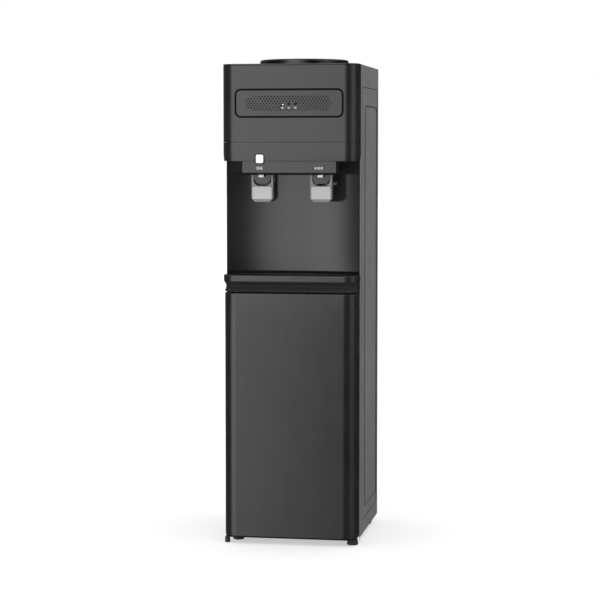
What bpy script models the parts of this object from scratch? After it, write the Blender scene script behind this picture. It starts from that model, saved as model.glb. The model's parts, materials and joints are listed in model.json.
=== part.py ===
"""A floor-standing, top-loading hot and cold water dispenser, as an assembly of separate pieces.

Metres, +Z up. The origin is on the floor under the middle of the cabinet, the front faces -Y and +X is
to the right of somebody who stands in front of it. `behind(d)` gives the Y of a plane that lies d behind
the flat front of the head, which is where the moulded fronts are dimensioned from.
"""

import math

import bmesh
import bpy
from mathutils import Matrix, Vector

# ---- driving dimensions -------------------------------------------------------------------------------
WIDTH = 0.276  # across the head and the drip tray's rim
DEPTH = 0.324  # front of the head to the rear edge of the side panels
FRONT = -DEPTH / 2
REAR = DEPTH / 2
CORNER = 0.027  # plan radius of the moulded front corners
WALL = 0.0025  # thickness of the moulded fronts
SHEET = 0.0010  # thickness of the sheet steel
GAP = 0.0003  # the least gap between two pieces that touch
MOULD_DEPTH = 0.0485  # how far the moulded fronts reach back to the sheet-steel sides

DOOR_WIDTH = 0.272
DOOR_FRONT = 0.002
DOOR_BACK = 0.0445
DOOR_BOTTOM = 0.0149
DOOR_TOP = 0.5105
SHELF_BOTTOM = 0.5134  # the ledge above the door, scooped out for the fingers that open it
SHELF_TOP = 0.5332
TRAY_TOP = 0.5465
NICHE_TOP = 0.7752
HEAD_BOTTOM = 0.7756
HEAD_SEAM = 0.8132
CABINET_TOP = 0.9690
SEAT_TOP = 0.9830
PANEL_BOTTOM = 0.011

NICHE_MIDDLE = 0.072  # depth of the dispensing niche at its middle and at its two ends
NICHE_EDGE = 0.048
NICHE_HALF = 0.135
NICHE_POWER = 2.6  # how square the niche is in plan

BACK_PANEL = 0.297  # depth of the back sheet, which leaves a bay for the condenser behind it
SEAT_CENTRE = 0.186  # depth of the bottle's axis
SEAT_RADIUS = 0.092
TAP_X = 0.060
SHANK_Z = 0.745
PIVOT_DEPTH = 0.040
PIVOT_Z = 0.762
HINGE_X = -0.127
HINGE_DEPTH = 0.034
WINDOW_Z = 0.8906
LENS_Z = 0.8890
LENS_PITCH = 0.0130
BUTTON_X = -0.0595
BUTTON_Z = 0.7800
FITTINGS_X = -0.092  # the column of switches, mains inlet and drain on the back
SWITCH_Z = (0.682, 0.649)
INLET_Z = 0.6080
DRAIN_Z = 0.5560
HOT_TANK = (-0.045, 0.165)  # X and depth of its axis
DECK_TOP = 0.538
HOSE_HOLES = ((0.030, 0.170), (-0.030, 0.200))  # X and depth where hoses leave the cold tank

COLOURS = {  # red, green, blue, roughness, metallic
    "charcoal_shell": (0.070, 0.070, 0.072, 0.42, 0.0),
    "charcoal_steel": (0.085, 0.085, 0.087, 0.45, 0.3),
    "black_gloss": (0.010, 0.010, 0.011, 0.18, 0.0),
    "black_matt": (0.018, 0.018, 0.019, 0.60, 0.0),
    "lever_silver": (0.420, 0.420, 0.430, 0.35, 0.6),
    "white_plastic": (0.800, 0.800, 0.800, 0.35, 0.0),
    "zinc_steel": (0.560, 0.570, 0.580, 0.35, 1.0),
    "stainless": (0.640, 0.640, 0.650, 0.25, 1.0),
    "copper": (0.720, 0.380, 0.230, 0.30, 1.0),
    "foam": (0.850, 0.840, 0.800, 0.90, 0.0),
    "silicone": (0.780, 0.790, 0.780, 0.50, 0.0),
    "rubber": (0.020, 0.020, 0.020, 0.80, 0.0),
    "rocker_red": (0.520, 0.030, 0.025, 0.35, 0.0),
    "rocker_green": (0.030, 0.330, 0.070, 0.35, 0.0),
    "lens_smoke": (0.015, 0.012, 0.012, 0.10, 0.0),
}


def behind(d):
    """The Y of a plane that lies d behind the head's front."""
    return FRONT + d


# ---- making pieces ------------------------------------------------------------------------------------
def material(name):
    found = bpy.data.materials.get(name)
    if found:
        return found
    red, green, blue, roughness, metallic = COLOURS[name]
    made = bpy.data.materials.new(name)
    made.use_nodes = True
    shader = made.node_tree.nodes["Principled BSDF"]
    shader.inputs["Base Color"].default_value = (red, green, blue, 1.0)
    shader.inputs["Roughness"].default_value = roughness
    shader.inputs["Metallic"].default_value = metallic
    return made


def piece(name, bm, finish, smooth=True):
    """Turns a bmesh into a named object with its material."""
    bmesh.ops.recalc_face_normals(bm, faces=bm.faces)
    mesh = bpy.data.meshes.new(name)
    bm.to_mesh(mesh)
    bm.free()
    made = bpy.data.objects.new(name, mesh)
    bpy.context.scene.collection.objects.link(made)
    mesh.materials.append(material(finish))
    if smooth:
        mesh.shade_smooth()
        mesh.set_sharp_from_angle(angle=math.radians(30))
    return made


def helper(obj):
    """Marks an object as a cutter or a shape to join, which isn't a piece itself."""
    obj.hide_render = True
    obj.display_type = "WIRE"
    return obj


def combine(obj, other, operation):
    change = obj.modifiers.new(operation.lower(), "BOOLEAN")
    change.operation = operation
    change.solver = "EXACT"
    change.object = helper(other)
    return obj


def cut(obj, *others):
    for other in others:
        combine(obj, other, "DIFFERENCE")
    return obj


def join(obj, *others):
    for other in others:
        combine(obj, other, "UNION")
    return obj


def box_mesh(low, high):
    bm = bmesh.new()
    bmesh.ops.create_cube(bm, size=1.0)
    size = Vector(high) - Vector(low)
    bmesh.ops.scale(bm, vec=size, verts=bm.verts)
    bmesh.ops.translate(bm, vec=(Vector(high) + Vector(low)) / 2, verts=bm.verts)
    return bm


def box(name, x, depth, z, finish="black_matt"):
    """A block between two values of X, two depths behind the front and two heights."""
    low = (x[0], behind(depth[0]), z[0])
    high = (x[1], behind(depth[1]), z[1])
    return piece(name, box_mesh(low, high), finish, smooth=False)


def prism(name, outline, start, end, finish="black_matt", axis="Z"):
    """An outline swept straight along an axis: (x, y) along Z, (x, z) along Y, or (y, z) along X."""
    place = {
        "Z": lambda a, b: (a, b, start),
        "Y": lambda a, b: (a, start, b),
        "X": lambda a, b: (start, a, b),
    }[axis]
    along = {"Z": (0, 0, 1), "Y": (0, 1, 0), "X": (1, 0, 0)}[axis]
    bm = bmesh.new()
    face = bm.faces.new([bm.verts.new(place(a, b)) for a, b in outline])
    swept = bmesh.ops.extrude_face_region(bm, geom=[face])["geom"]
    moved = [v for v in swept if isinstance(v, bmesh.types.BMVert)]
    bmesh.ops.translate(bm, vec=Vector(along) * (end - start), verts=moved)
    return piece(name, bm, finish)


def loft(name, rings, finish, closed=False):
    """A skin over rings that all have as many points, with the first and last ring filled or joined."""
    bm = bmesh.new()
    made = [[bm.verts.new(point) for point in ring] for ring in rings]
    pairs = list(zip(made, made[1:])) + ([(made[-1], made[0])] if closed else [])
    for lower, upper in pairs:
        for i in range(len(lower)):
            j = (i + 1) % len(lower)
            bm.faces.new((lower[i], lower[j], upper[j], upper[i]))
    if not closed:
        bm.faces.new(made[0])
        bm.faces.new(made[-1])
    return piece(name, bm, finish)


def turned(name, profile, centre, finish, steps=32, along="Z", closed=False):
    """A profile of (radius, height) points spun about an axis through centre."""
    bm = bmesh.new()
    points = [bm.verts.new((r, 0, h)) for r, h in profile]
    edges = [bm.edges.new(pair) for pair in zip(points, points[1:])]
    if closed:
        edges.append(bm.edges.new((points[-1], points[0])))
    bmesh.ops.spin(
        bm, geom=points + edges, cent=(0, 0, 0), axis=(0, 0, 1), angle=math.tau, steps=steps, use_merge=True
    )
    bmesh.ops.remove_doubles(bm, verts=bm.verts, dist=1e-6)
    turn = {"Z": Matrix(), "Y": Matrix.Rotation(-math.pi / 2, 4, "X"), "X": Matrix.Rotation(math.pi / 2, 4, "Y")}
    bmesh.ops.transform(bm, matrix=Matrix.Translation(centre) @ turn[along], verts=bm.verts)
    return piece(name, bm, finish)


def rod(name, centre, radius, low, high, finish="black_matt", steps=24, along="Z"):
    """A solid cylinder from low to high along its axis; centre gives the two other coordinates."""
    at = {"Z": (*centre, 0), "Y": (centre[0], 0, centre[1]), "X": (0, *centre)}[along]
    profile = [(0, low), (radius, low), (radius, high), (0, high)]
    return turned(name, profile, at, finish, steps=steps, along=along)


def tube(name, points, radius, finish, resolution=2):
    """A round bar along points, with filled ends."""
    curve = bpy.data.curves.new(name, "CURVE")
    curve.dimensions = "3D"
    curve.bevel_depth = radius
    curve.bevel_resolution = resolution
    curve.use_fill_caps = True
    spline = curve.splines.new("POLY")
    spline.points.add(len(points) - 1)
    for target, point in zip(spline.points, points):
        target.co = (*point, 1.0)
    made = bpy.data.objects.new(name, curve)
    bpy.context.scene.collection.objects.link(made)
    curve.materials.append(material(finish))
    return made


def smooth_route(anchors, per_span=5):
    """Points on a Catmull-Rom curve through a hose's anchors, for bends without corners."""
    found = []
    padded = [anchors[0], *anchors, anchors[-1]]
    for a, b, c, d in zip(padded, padded[1:], padded[2:], padded[3:]):
        a, b, c, d = Vector(a), Vector(b), Vector(c), Vector(d)
        for i in range(per_span):
            t = i / per_span
            found.append(
                0.5 * (2 * b + (c - a) * t + (2 * a - 5 * b + 4 * c - d) * t**2 + (3 * b - a - 3 * c + d) * t**3)
            )
    return found + [Vector(anchors[-1])]


def helix(radius, low, high, turns, centre, per_turn=14):
    count = int(turns * per_turn)
    return [
        (
            centre[0] + radius * math.cos(math.tau * i / per_turn),
            centre[1] + radius * math.sin(math.tau * i / per_turn),
            low + (high - low) * i / count,
        )
        for i in range(count + 1)
    ]


# ---- outlines -----------------------------------------------------------------------------------------
def rounded_rectangle(half_a, half_b, radius, centre=(0.0, 0.0), steps=5):
    """Anticlockwise points of a rectangle with round corners."""
    found = []
    for quarter, (sign_a, sign_b) in enumerate(((1, 1), (-1, 1), (-1, -1), (1, -1))):
        for i in range(steps + 1):
            angle = (quarter + i / steps) * math.pi / 2
            found.append(
                (
                    centre[0] + sign_a * (half_a - radius) + radius * math.cos(angle),
                    centre[1] + sign_b * (half_b - radius) + radius * math.sin(angle),
                )
            )
    return found


def front_path(half_width, front, back, radius, steps=10):
    """The moulded fronts' plan line: left side, round corner, flat front, round corner, right side."""
    left = [(-half_width, behind(back))]
    for i in range(steps + 1):
        angle = math.pi / 2 * i / steps
        left.append(
            (
                -half_width + radius * (1 - math.cos(angle)),
                behind(front + radius * (1 - math.sin(angle))),
            )
        )
    return left + [(-x, y) for x, y in reversed(left)]


def u_shell(name, levels, half_width, back, finish, front=0.0, wall=WALL):
    """A moulded front that wraps both corners. levels holds (height, how much smaller it is there)."""
    rings = []
    for height, smaller in levels:
        outer = front_path(half_width - smaller, front + smaller, back, CORNER - smaller)
        inner = front_path(half_width - smaller - wall, front + smaller + wall, back, CORNER - smaller - wall)
        rings.append([(x, y, height) for x, y in outer + inner[::-1]])
    return loft(name, rings, finish)


def niche_depth(x):
    """How far behind the front the concave wall of the dispensing niche lies at x."""
    share = min(1.0, abs(x) / NICHE_HALF)
    return NICHE_MIDDLE - (NICHE_MIDDLE - NICHE_EDGE) * share**NICHE_POWER


def niche_line(offset, half_width, steps=26):
    """The niche wall's plan line, offset towards the back, from right to left."""
    xs = [half_width * (1 - 2 * i / steps) for i in range(steps + 1)]
    return [(x, behind(niche_depth(x) + offset)) for x in xs]


# ---- base and cabinet ---------------------------------------------------------------------------------
def make_base():
    half = WIDTH / 2 - 0.0045
    front = front_path(half, 0.010, 0.296, 0.006)
    pan = prism("base_pan", front, 0.0118, 0.0138, "charcoal_steel")
    rail_z = (0.0130, 0.0300)
    join(
        pan,
        box("pan_rail_left", (-half, -half + SHEET), (0.0535, 0.2955), rail_z),
        box("pan_rail_right", (half - SHEET, half), (0.0535, 0.2955), rail_z),
        box("pan_rail_rear", (-half + 0.0005, half - 0.0005), (0.2940, 0.2955), rail_z),
    )
    feet = {
        "foot_front_left": (-0.1140, 0.0525),
        "foot_front_right": (0.1250, 0.0330),
        "foot_rear_left": (-0.1210, 0.2620),
        "foot_rear_right": (0.1210, 0.2620),
    }
    for name, (x, depth) in feet.items():
        profile = [(0, 0), (0.0100, 0), (0.0114, 0.0012), (0.0114, 0.0030), (0.0100, 0.0114)]
        profile += [(0.0040, 0.0114), (0.0040, 0.0137), (0, 0.0137)]
        turned(name, profile, (x, behind(depth), 0), "rubber", steps=24)
        cut(pan, rod(name + "_hole", (x, behind(depth)), 0.0043, 0.010, 0.015, steps=16))
    leg = (-0.1300, behind(0.0165))
    profile = [(0, 0), (0.0044, 0), (0.0053, 0.0010), (0.0053, 0.0114)]
    profile += [(0.0030, 0.0114), (0.0030, 0.0137), (0, 0.0137)]
    turned("hinge_corner_leg", profile, (*leg, 0), "black_matt", steps=24)
    cut(
        pan,
        rod("leg_hole", leg, 0.0033, 0.010, 0.015, steps=16),
        rod("pin_hole", (HINGE_X, behind(HINGE_DEPTH)), 0.0033, 0.010, 0.015, steps=16),
    )


def make_side_panel(name, side):
    """A steel side with a shallow field, a pressed bead inside it and a return along its rear edge."""
    low, high = MOULD_DEPTH + GAP, DEPTH
    middle = (behind((low + high) / 2), (PANEL_BOTTOM + CABINET_TOP) / 2)
    half = ((high - low) / 2, (CABINET_TOP - PANEL_BOTTOM) / 2)
    field = (behind(0.192), 0.4825)
    bead = (behind(0.2105), 0.4750)
    shapes = [(middle, *half, 0.0006, 0.0), (field, 0.1160, 0.4425, 0.0040, 0.0)]
    shapes.append((field, 0.1150, 0.4415, 0.0035, 0.0005))
    for spread, sunk in ((0.0045, 0.0005), (0.0020, 0.0014), (-0.0020, 0.0014), (-0.0045, 0.0005)):
        shapes.append((bead, 0.0885 + spread, 0.4120 + spread, 0.0200 + spread, sunk))
    outside = WIDTH / 2 - 0.001
    skins = []
    for inward in (0.0, SHEET):
        skins.append(
            [
                [(side * (outside - sunk - inward), y, z) for y, z in rounded_rectangle(a, b, r, centre)]
                for centre, a, b, r, sunk in shapes
            ]
        )
    panel = loft(name, skins[0][::-1] + skins[1], "charcoal_steel")
    x = sorted((side * (outside - SHEET * 0.5), side * (outside - 0.012)))
    join(panel, box(name + "_return", x, (high - SHEET, high), (PANEL_BOTTOM + 0.004, CABINET_TOP - 0.004)))


def make_back_panel():
    half = WIDTH / 2 - 0.0042
    panel = box("back_panel", (-half, half), (BACK_PANEL, BACK_PANEL + 0.0012), (0.016, 0.9450), "charcoal_steel")
    through = (BACK_PANEL - 0.01, BACK_PANEL + 0.01)
    for row in range(7):
        z = 0.045 + row * 0.014
        for side in (-1, 1):
            x = sorted((side * 0.020, side * 0.110))
            cut(panel, box(f"vent_{row}_{side}", x, through, (z, z + 0.005)))
    x = (FITTINGS_X - 0.0165, FITTINGS_X + 0.0165)
    cut(panel, box("fittings_hole", x, through, (INLET_Z - 0.0120, SWITCH_Z[0] + 0.0120)))
    cut(panel, rod("drain_hole", (FITTINGS_X, DRAIN_Z), 0.0085, behind(0.28), behind(0.31), along="Y"))


def make_top_cover():
    half = WIDTH / 2 - 0.0031
    front = front_path(WIDTH / 2, 0.0, MOULD_DEPTH, CORNER)
    outline = [(-half, behind(DEPTH - 0.0005)), (-half, behind(MOULD_DEPTH)), *front]
    outline += [(half, behind(MOULD_DEPTH)), (half, behind(DEPTH - 0.0005))]
    cover = prism("top_cover", outline, 0.9662, CABINET_TOP, "charcoal_shell")
    centre = (0, behind(SEAT_CENTRE), 0)
    collar = [(0.0885, 0.9500), (0.0910, 0.9500), (0.0910, 0.9680), (0.0885, 0.9680)]
    join(
        cover,
        turned("cover_collar", collar, centre, "charcoal_shell", steps=48, closed=True),
        box("cover_rear_skirt", (-half, half), (BACK_PANEL - 0.0005, BACK_PANEL + 0.0015), (0.9455, 0.9670)),
    )
    cut(cover, rod("seat_hole", centre[:2], 0.0886, 0.940, 0.990, steps=48))


# ---- head ---------------------------------------------------------------------------------------------
def make_head():
    half = WIDTH / 2
    head = u_shell("head_panel", [(HEAD_SEAM, 0.0), (0.9659, 0.0)], half, MOULD_DEPTH, "charcoal_shell")
    window = rounded_rectangle(0.1099, 0.0288, 0.0122, (0, WINDOW_Z), steps=8)
    cut(head, prism("window", window, behind(-0.01), behind(0.02), axis="Y"))

    levels = [(HEAD_BOTTOM, 0.0012), (0.7800, 0.0008), (0.7900, 0.0), (HEAD_SEAM - GAP, 0.0)]
    lower = u_shell("head_lower", levels, half, MOULD_DEPTH, "charcoal_shell")
    inset = half - WALL + 0.0005
    join(
        lower,
        prism(
            "soffit",
            front_path(inset - 0.0015, WALL, 0.0755, CORNER - WALL),
            HEAD_BOTTOM,
            HEAD_BOTTOM + 0.002,
            "charcoal_shell",
        ),
    )
    rounded = rounded_rectangle(0.0089, 0.0099, 0.0038, (BUTTON_X, BUTTON_Z))
    cut(lower, prism("button_slot", rounded, behind(-0.005), behind(0.012), axis="Y"))

    outer = rounded_rectangle(0.1096, 0.0285, 0.0119, (0, WINDOW_Z), steps=8)
    inner = rounded_rectangle(0.1066, 0.0255, 0.0089, (0, WINDOW_Z), steps=8)
    corners = ((outer, 0.0008), (inner, 0.0008), (inner, 0.0040), (outer, 0.0040))
    rings = [[(x, behind(d), z) for x, z in line] for line, d in corners]
    loft("display_trim", rings, "black_gloss", closed=True)
    plate = rounded_rectangle(0.1063, 0.0252, 0.0086, (0, WINDOW_Z), steps=8)
    insert = prism("display_insert", plate, behind(0.0), behind(WALL), "charcoal_shell", axis="Y")
    for index, name in enumerate(("heat", "power", "cool")):
        x = (index - 1) * LENS_PITCH
        cut(insert, rod(name + "_hole", (x, LENS_Z), 0.0031, behind(-0.01), behind(0.01), along="Y"))
        profile = [(0, 0.0004), (0.0026, 0.0004), (0.0028, 0.0006), (0.0028, 0.0050), (0, 0.0050)]
        turned(f"indicator_lens_{name}", profile, (x, FRONT, LENS_Z), "lens_smoke", steps=20, along="Y")


def make_fascia():
    """The cover over both taps, under the head: front and side walls, and a floor notched for the taps."""
    bottom, top = 0.7520, NICHE_TOP
    front = 0.0012
    outline = [(-0.095, behind(0.045)), (-0.095, behind(front)), (0.095, behind(front)), (0.095, behind(0.045))]
    outline += [(0.0928, behind(0.045)), (0.0928, behind(front + 0.0022))]
    outline += [(-0.0928, behind(front + 0.0022)), (-0.0928, behind(0.045))]
    fascia = prism("tap_fascia", outline, bottom, top, "charcoal_shell")
    floor = box("fascia_floor", (-0.0935, 0.0935), (0.0030, 0.0440), (bottom + 0.0010, bottom + 0.0030))
    for x in (-TAP_X, TAP_X):
        cut(floor, box("tap_notch", (x - 0.0240, x + 0.0240), (0.0120, 0.0500), (0.740, 0.770)))
    join(fascia, floor)
    rounded = rounded_rectangle(0.0089, 0.0099, 0.0038, (BUTTON_X, BUTTON_Z))
    cut(fascia, prism("fascia_button_slot", rounded, behind(-0.005), behind(0.008), axis="Y"))


def make_child_lock():
    rounded = rounded_rectangle(0.0077, 0.0087, 0.0030, (BUTTON_X, BUTTON_Z))
    small = rounded_rectangle(0.0067, 0.0077, 0.0024, (BUTTON_X, BUTTON_Z))
    depths = ((small, -0.0010), (rounded, 0.0002), (rounded, 0.0060))
    button = loft("child_lock_button", [[(x, behind(d), z) for x, z in line] for line, d in depths], "white_plastic")
    stem = (BUTTON_X, BUTTON_Z + 0.0035)
    join(button, rod("button_stem", stem, 0.0018, behind(0.005), behind(0.0170), steps=16, along="Y"))


# ---- niche, shelf and drip tray -----------------------------------------------------------------------
def make_niche():
    outline = niche_line(0.0, NICHE_HALF)[::-1] + niche_line(WALL, NICHE_HALF)
    wall = prism("niche_panel", outline, SHELF_TOP + GAP, NICHE_TOP, "charcoal_shell")
    for x in (-TAP_X, TAP_X):
        cut(wall, rod("shank_hole", (x, SHANK_Z), 0.0085, behind(0.05), behind(0.09), along="Y"))


def make_shelf():
    """The fixed ledge that carries the tray, scooped out all round so fingers can pull the door."""
    levels = [  # height, front set back, sides set in
        (SHELF_BOTTOM, 0.0022, 0.0022),
        (0.5150, 0.0028, 0.0024),
        (0.5185, 0.0068, 0.0030),
        (0.5225, 0.0098, 0.0036),
        (0.5265, 0.0088, 0.0034),
        (0.5300, 0.0050, 0.0022),
        (0.5320, 0.0016, 0.0010),
        (SHELF_TOP, 0.0006, 0.0006),
    ]
    rings = []
    for z, back, narrow in levels:
        path = front_path(WIDTH / 2 - narrow, back, MOULD_DEPTH, CORNER - narrow)
        rings.append([(x, y, z) for x, y in path])
    shelf = loft("tray_shelf", rings, "black_matt")
    join(shelf, box("shelf_rear", (-0.1335, 0.1335), (0.040, 0.0790), (0.5270, SHELF_TOP - 0.0001)))
    cut(shelf, rod("upper_pin_hole", (HINGE_X, behind(HINGE_DEPTH)), 0.0033, 0.505, 0.5215, steps=16))


def tray_outline(inset, steps=26):
    """The tray's plan: the rounded front, and a back that follows the niche wall."""
    half = WIDTH / 2 - inset
    side_back = NICHE_EDGE - 0.0008 - inset
    front = front_path(half, inset, side_back, CORNER - inset)
    return front + niche_line(-0.0008 - inset, NICHE_HALF - inset, steps)


def make_tray():
    rings = []
    for inset, z in ((0.0004, SHELF_TOP + GAP), (0.0, 0.5350), (0.0, 0.5452), (0.0012, TRAY_TOP)):
        rings.append([(x, y, z) for x, y in tray_outline(inset)])
    tray = loft("drip_tray", rings, "charcoal_shell")
    bowl = prism("tray_bowl", tray_outline(0.0050), 0.5356, 0.5600)
    cut(tray, bowl)

    grille = prism("drip_grille", tray_outline(0.0055), 0.5428, 0.5458, "black_gloss")
    bm = bmesh.new()
    for near, far, count in ((0.013, 0.031, 13), (0.037, 0.055, 11)):
        for i in range(-count, count + 1):
            x = i * 0.0080
            slot = bmesh.ops.create_cube(bm, size=1.0)["verts"]
            bmesh.ops.scale(bm, vec=(0.0040, far - near, 0.02), verts=slot)
            bmesh.ops.translate(bm, vec=(x, behind((near + far) / 2), 0.544), verts=slot)
    cut(grille, piece("grille_slots", bm, "black_matt", smooth=False))
    for i, (x, depth) in enumerate(((-0.092, 0.034), (0.092, 0.034), (0.0, 0.009), (0.0, 0.060))):
        join(grille, rod(f"grille_leg_{i}", (x, behind(depth)), 0.0016, 0.5359, 0.5435, steps=12))


# ---- door ---------------------------------------------------------------------------------------------
def make_door():
    half = DOOR_WIDTH / 2
    plan = front_path(half, DOOR_FRONT, DOOR_BACK, CORNER)
    soft = front_path(half - 0.0012, DOOR_FRONT + 0.0012, DOOR_BACK, CORNER - 0.0012)
    levels = ((soft, DOOR_BOTTOM), (plan, DOOR_BOTTOM + 0.0012), (plan, DOOR_TOP - 0.0012), (soft, DOOR_TOP))
    rings = [[(x, y, z) for x, y in line] for line, z in levels]
    door = loft("door_shell", rings, "charcoal_shell")
    inside = front_path(half - WALL, DOOR_FRONT + WALL, DOOR_BACK + 0.01, CORNER - WALL)
    cut(door, prism("door_hollow", inside, DOOR_BOTTOM + WALL, DOOR_TOP - WALL))
    pin = (HINGE_X, behind(HINGE_DEPTH))
    cut(door, rod("door_pin_bore", pin, 0.0033, 0.0, 0.6, steps=16))
    inner = half - WALL - GAP
    z = (DOOR_BOTTOM + WALL + GAP, DOOR_TOP - WALL - GAP)
    box("door_inner_panel", (-inner, inner), (DOOR_BACK - 0.0025, DOOR_BACK - 0.0002), z, "charcoal_shell")
    rod("door_pin_lower", pin, 0.0030, 0.0121, 0.0350, "zinc_steel", steps=16)
    rod("door_pin_upper", pin, 0.0030, 0.4900, 0.5210, "zinc_steel", steps=16)
    box("door_magnet", (0.1260, 0.1330), (DOOR_BACK + 0.0001, MOULD_DEPTH - GAP), (0.2400, 0.2850), "black_matt")


def make_liner():
    """The storage compartment behind the door, with a flange that closes it off to the sides."""
    liner = box("cabinet_liner", (-0.120, 0.120), (0.0506, 0.1860), (0.030, 0.500), "charcoal_shell")
    flange = box("liner_flange", (-0.1340, 0.1340), (0.0506, 0.0524), (0.0150, 0.5120))
    join(liner, flange)
    cut(liner, box("liner_hollow", (-0.118, 0.118), (0.0400, 0.1840), (0.032, 0.498)))


# ---- taps ---------------------------------------------------------------------------------------------
def lobe_outline(half, bottom, top, radius, steps=6):
    """A tongue with a round-cornered lower end, as (x, z) points about x = 0."""
    right = [(half, top)]
    for i in range(steps + 1):
        angle = math.pi / 2 * i / steps
        right.append((half - radius * (1 - math.cos(angle)), bottom + radius * (1 - math.sin(angle))))
    return right + [(-x, z) for x, z in reversed(right)]


def make_tap(name, x):
    tongue = [(x + a, z) for a, z in lobe_outline(0.0170, 0.7300, 0.7725, 0.0120)]
    body = prism(f"{name}_tap_body", tongue, behind(0.0330), behind(0.0580), "charcoal_shell", axis="Y")
    join(
        body,
        box(f"{name}_spout_block", (x - 0.0110, x + 0.0110), (0.0130, 0.0400), (0.7565, 0.7724)),
        rod(f"{name}_shank", (x, SHANK_Z), 0.0080, behind(0.0550), behind(0.0920), along="Y"),
    )
    cut(
        body,
        rod(f"{name}_pin_bore", (behind(PIVOT_DEPTH), PIVOT_Z), 0.0023, x - 0.03, x + 0.03, steps=16, along="X"),
    )
    profile = [(0.0036, 0.7430), (0.0050, 0.7430), (0.0055, 0.7436), (0.0055, 0.7562), (0.0036, 0.7562)]
    turned(f"{name}_nozzle", profile, (x, behind(0.0210), 0), "white_plastic", steps=24, closed=True)

    arm_in, arm_out = 0.0178, 0.0222
    outline = [(arm_out, 0.7680), (arm_out, 0.7000), (arm_out - 0.0070, 0.6930)]
    outline += [(-a, z) for a, z in reversed(outline)]
    outline += [(-arm_in, 0.7680)]
    outline += [(a, z) for a, z in reversed(lobe_outline(arm_in, 0.7260, 0.7680, 0.0115)[1:-1])]
    outline += [(arm_in, 0.7680)]
    shape = [(x + a, z) for a, z in outline]
    lever = prism(f"{name}_lever", shape, behind(0.0323), behind(0.0460), "lever_silver", axis="Y")
    pin_place = (behind(PIVOT_DEPTH), PIVOT_Z)
    cut(lever, rod(f"{name}_lever_bore", pin_place, 0.0023, x - 0.03, x + 0.03, steps=16, along="X"))
    rod(f"{name}_pivot_pin", pin_place, 0.0020, x - 0.0219, x + 0.0219, "stainless", steps=16, along="X")

    big = rounded_rectangle(0.0201, 0.0133, 0.0030, (x, 0.7117))
    small = rounded_rectangle(0.0193, 0.0125, 0.0024, (x, 0.7117))
    depths = ((small, 0.0288), (big, 0.0296), (big, 0.0320))
    loft(f"{name}_lever_pad", [[(a, behind(d), z) for a, z in line] for line, d in depths], "lever_silver")


# ---- water and cooling --------------------------------------------------------------------------------
def make_bottle_seat():
    centre = (0, behind(SEAT_CENTRE), 0)
    rim = SEAT_RADIUS
    profile = [
        (rim - 0.0004, CABINET_TOP + GAP),
        (rim, CABINET_TOP + 0.0030),
        (rim, SEAT_TOP - 0.0035),
        (rim - 0.0012, SEAT_TOP - 0.0010),
        (rim - 0.0035, SEAT_TOP),
        (rim - 0.0095, SEAT_TOP),
        (rim - 0.0120, SEAT_TOP - 0.0015),
        (0.0720, 0.9640),
        (0.0360, 0.9480),
        (0.0330, 0.9450),
        (0.0330, 0.9160),
        (0.0130, 0.9140),
        (0.0130, 0.9100),
        (0.0360, 0.9120),
        (0.0360, 0.9440),
        (0.0380, 0.9460),
        (0.0735, 0.9616),
        (0.0780, 0.9650),
        (0.0860, CABINET_TOP + GAP),
    ]
    turned("bottle_seat", profile, centre, "black_gloss", steps=56, closed=True)
    spike = [(0.0060, 0.9050), (0.0127, 0.9050), (0.0127, 0.9142), (0.0150, 0.9155), (0.0150, 0.9175)]
    spike += [(0.0100, 0.9185), (0.0095, 0.9550), (0.0060, 0.9650), (0.0035, 0.9650), (0.0060, 0.9540)]
    turned("bottle_probe", spike, centre, "white_plastic", steps=32, closed=True)


def make_cold_side():
    centre = (0, behind(SEAT_CENTRE), 0)
    tank = [(0, 0.7520), (0.0590, 0.7520), (0.0620, 0.7550), (0.0620, 0.9020)]
    tank += [(0.0608, 0.9020), (0.0608, 0.7560), (0.0585, 0.7532), (0, 0.7532)]
    turned("cold_tank", tank, centre, "stainless", steps=40)
    tube("evaporator_coil", helix(0.0685, 0.775, 0.865, 6, centre, per_turn=24), 0.0030, "copper", resolution=1)
    jacket = [(0, 0.7370), (0.0880, 0.7370), (0.0880, 0.9080), (0.0745, 0.9080), (0.0745, 0.7510), (0, 0.7510)]
    foam = turned("insulation_jacket", jacket, centre, "foam", steps=40)
    for index, (x, depth) in enumerate(HOSE_HOLES):
        cut(foam, rod(f"foam_hole_{index}", (x, behind(depth)), 0.0060, 0.73, 0.7560, steps=16))


def make_frame():
    """The folded deck over the storage compartment, with the bridge that carries the cold tank."""
    deck = box("tank_frame", (-0.1330, 0.1330), (0.0800, 0.2950), (DECK_TOP - 0.0015, DECK_TOP), "zinc_steel")
    bridge = box("bridge", (-0.1285, 0.1285), (0.1250, 0.2700), (0.7350, 0.7366))
    for index, (x, depth) in enumerate(HOSE_HOLES):
        cut(bridge, rod(f"bridge_hole_{index}", (x, behind(depth)), 0.0060, 0.73, 0.7400, steps=16))
    join(deck, bridge)
    for side in (-1, 1):
        x = sorted((side * 0.1285, side * 0.1270))
        join(deck, box("bridge_leg", x, (0.1251, 0.2699), (DECK_TOP - 0.0010, 0.7360)))


def make_hot_side():
    centre = (HOT_TANK[0], behind(HOT_TANK[1]), 0)
    tank = [(0.0260, DECK_TOP + GAP), (0.0280, DECK_TOP + GAP), (0.0280, 0.5455), (0.0380, 0.5480)]
    tank += [(0.0430, 0.5550), (0.0430, 0.6500), (0.0380, 0.6570), (0.0250, 0.6600), (0, 0.6600), (0, 0.6580)]
    tank += [(0.0245, 0.6580), (0.0368, 0.6550), (0.0412, 0.6490), (0.0412, 0.5560), (0.0370, 0.5500), (0.0260, 0.5473)]
    turned("hot_tank", tank, centre, "stainless", steps=32, closed=True)
    band = [(0.0434, 0.5950), (0.0462, 0.5950), (0.0462, 0.6200), (0.0434, 0.6200)]
    turned("heater_band", band, centre, "zinc_steel", steps=32, closed=True)


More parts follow.
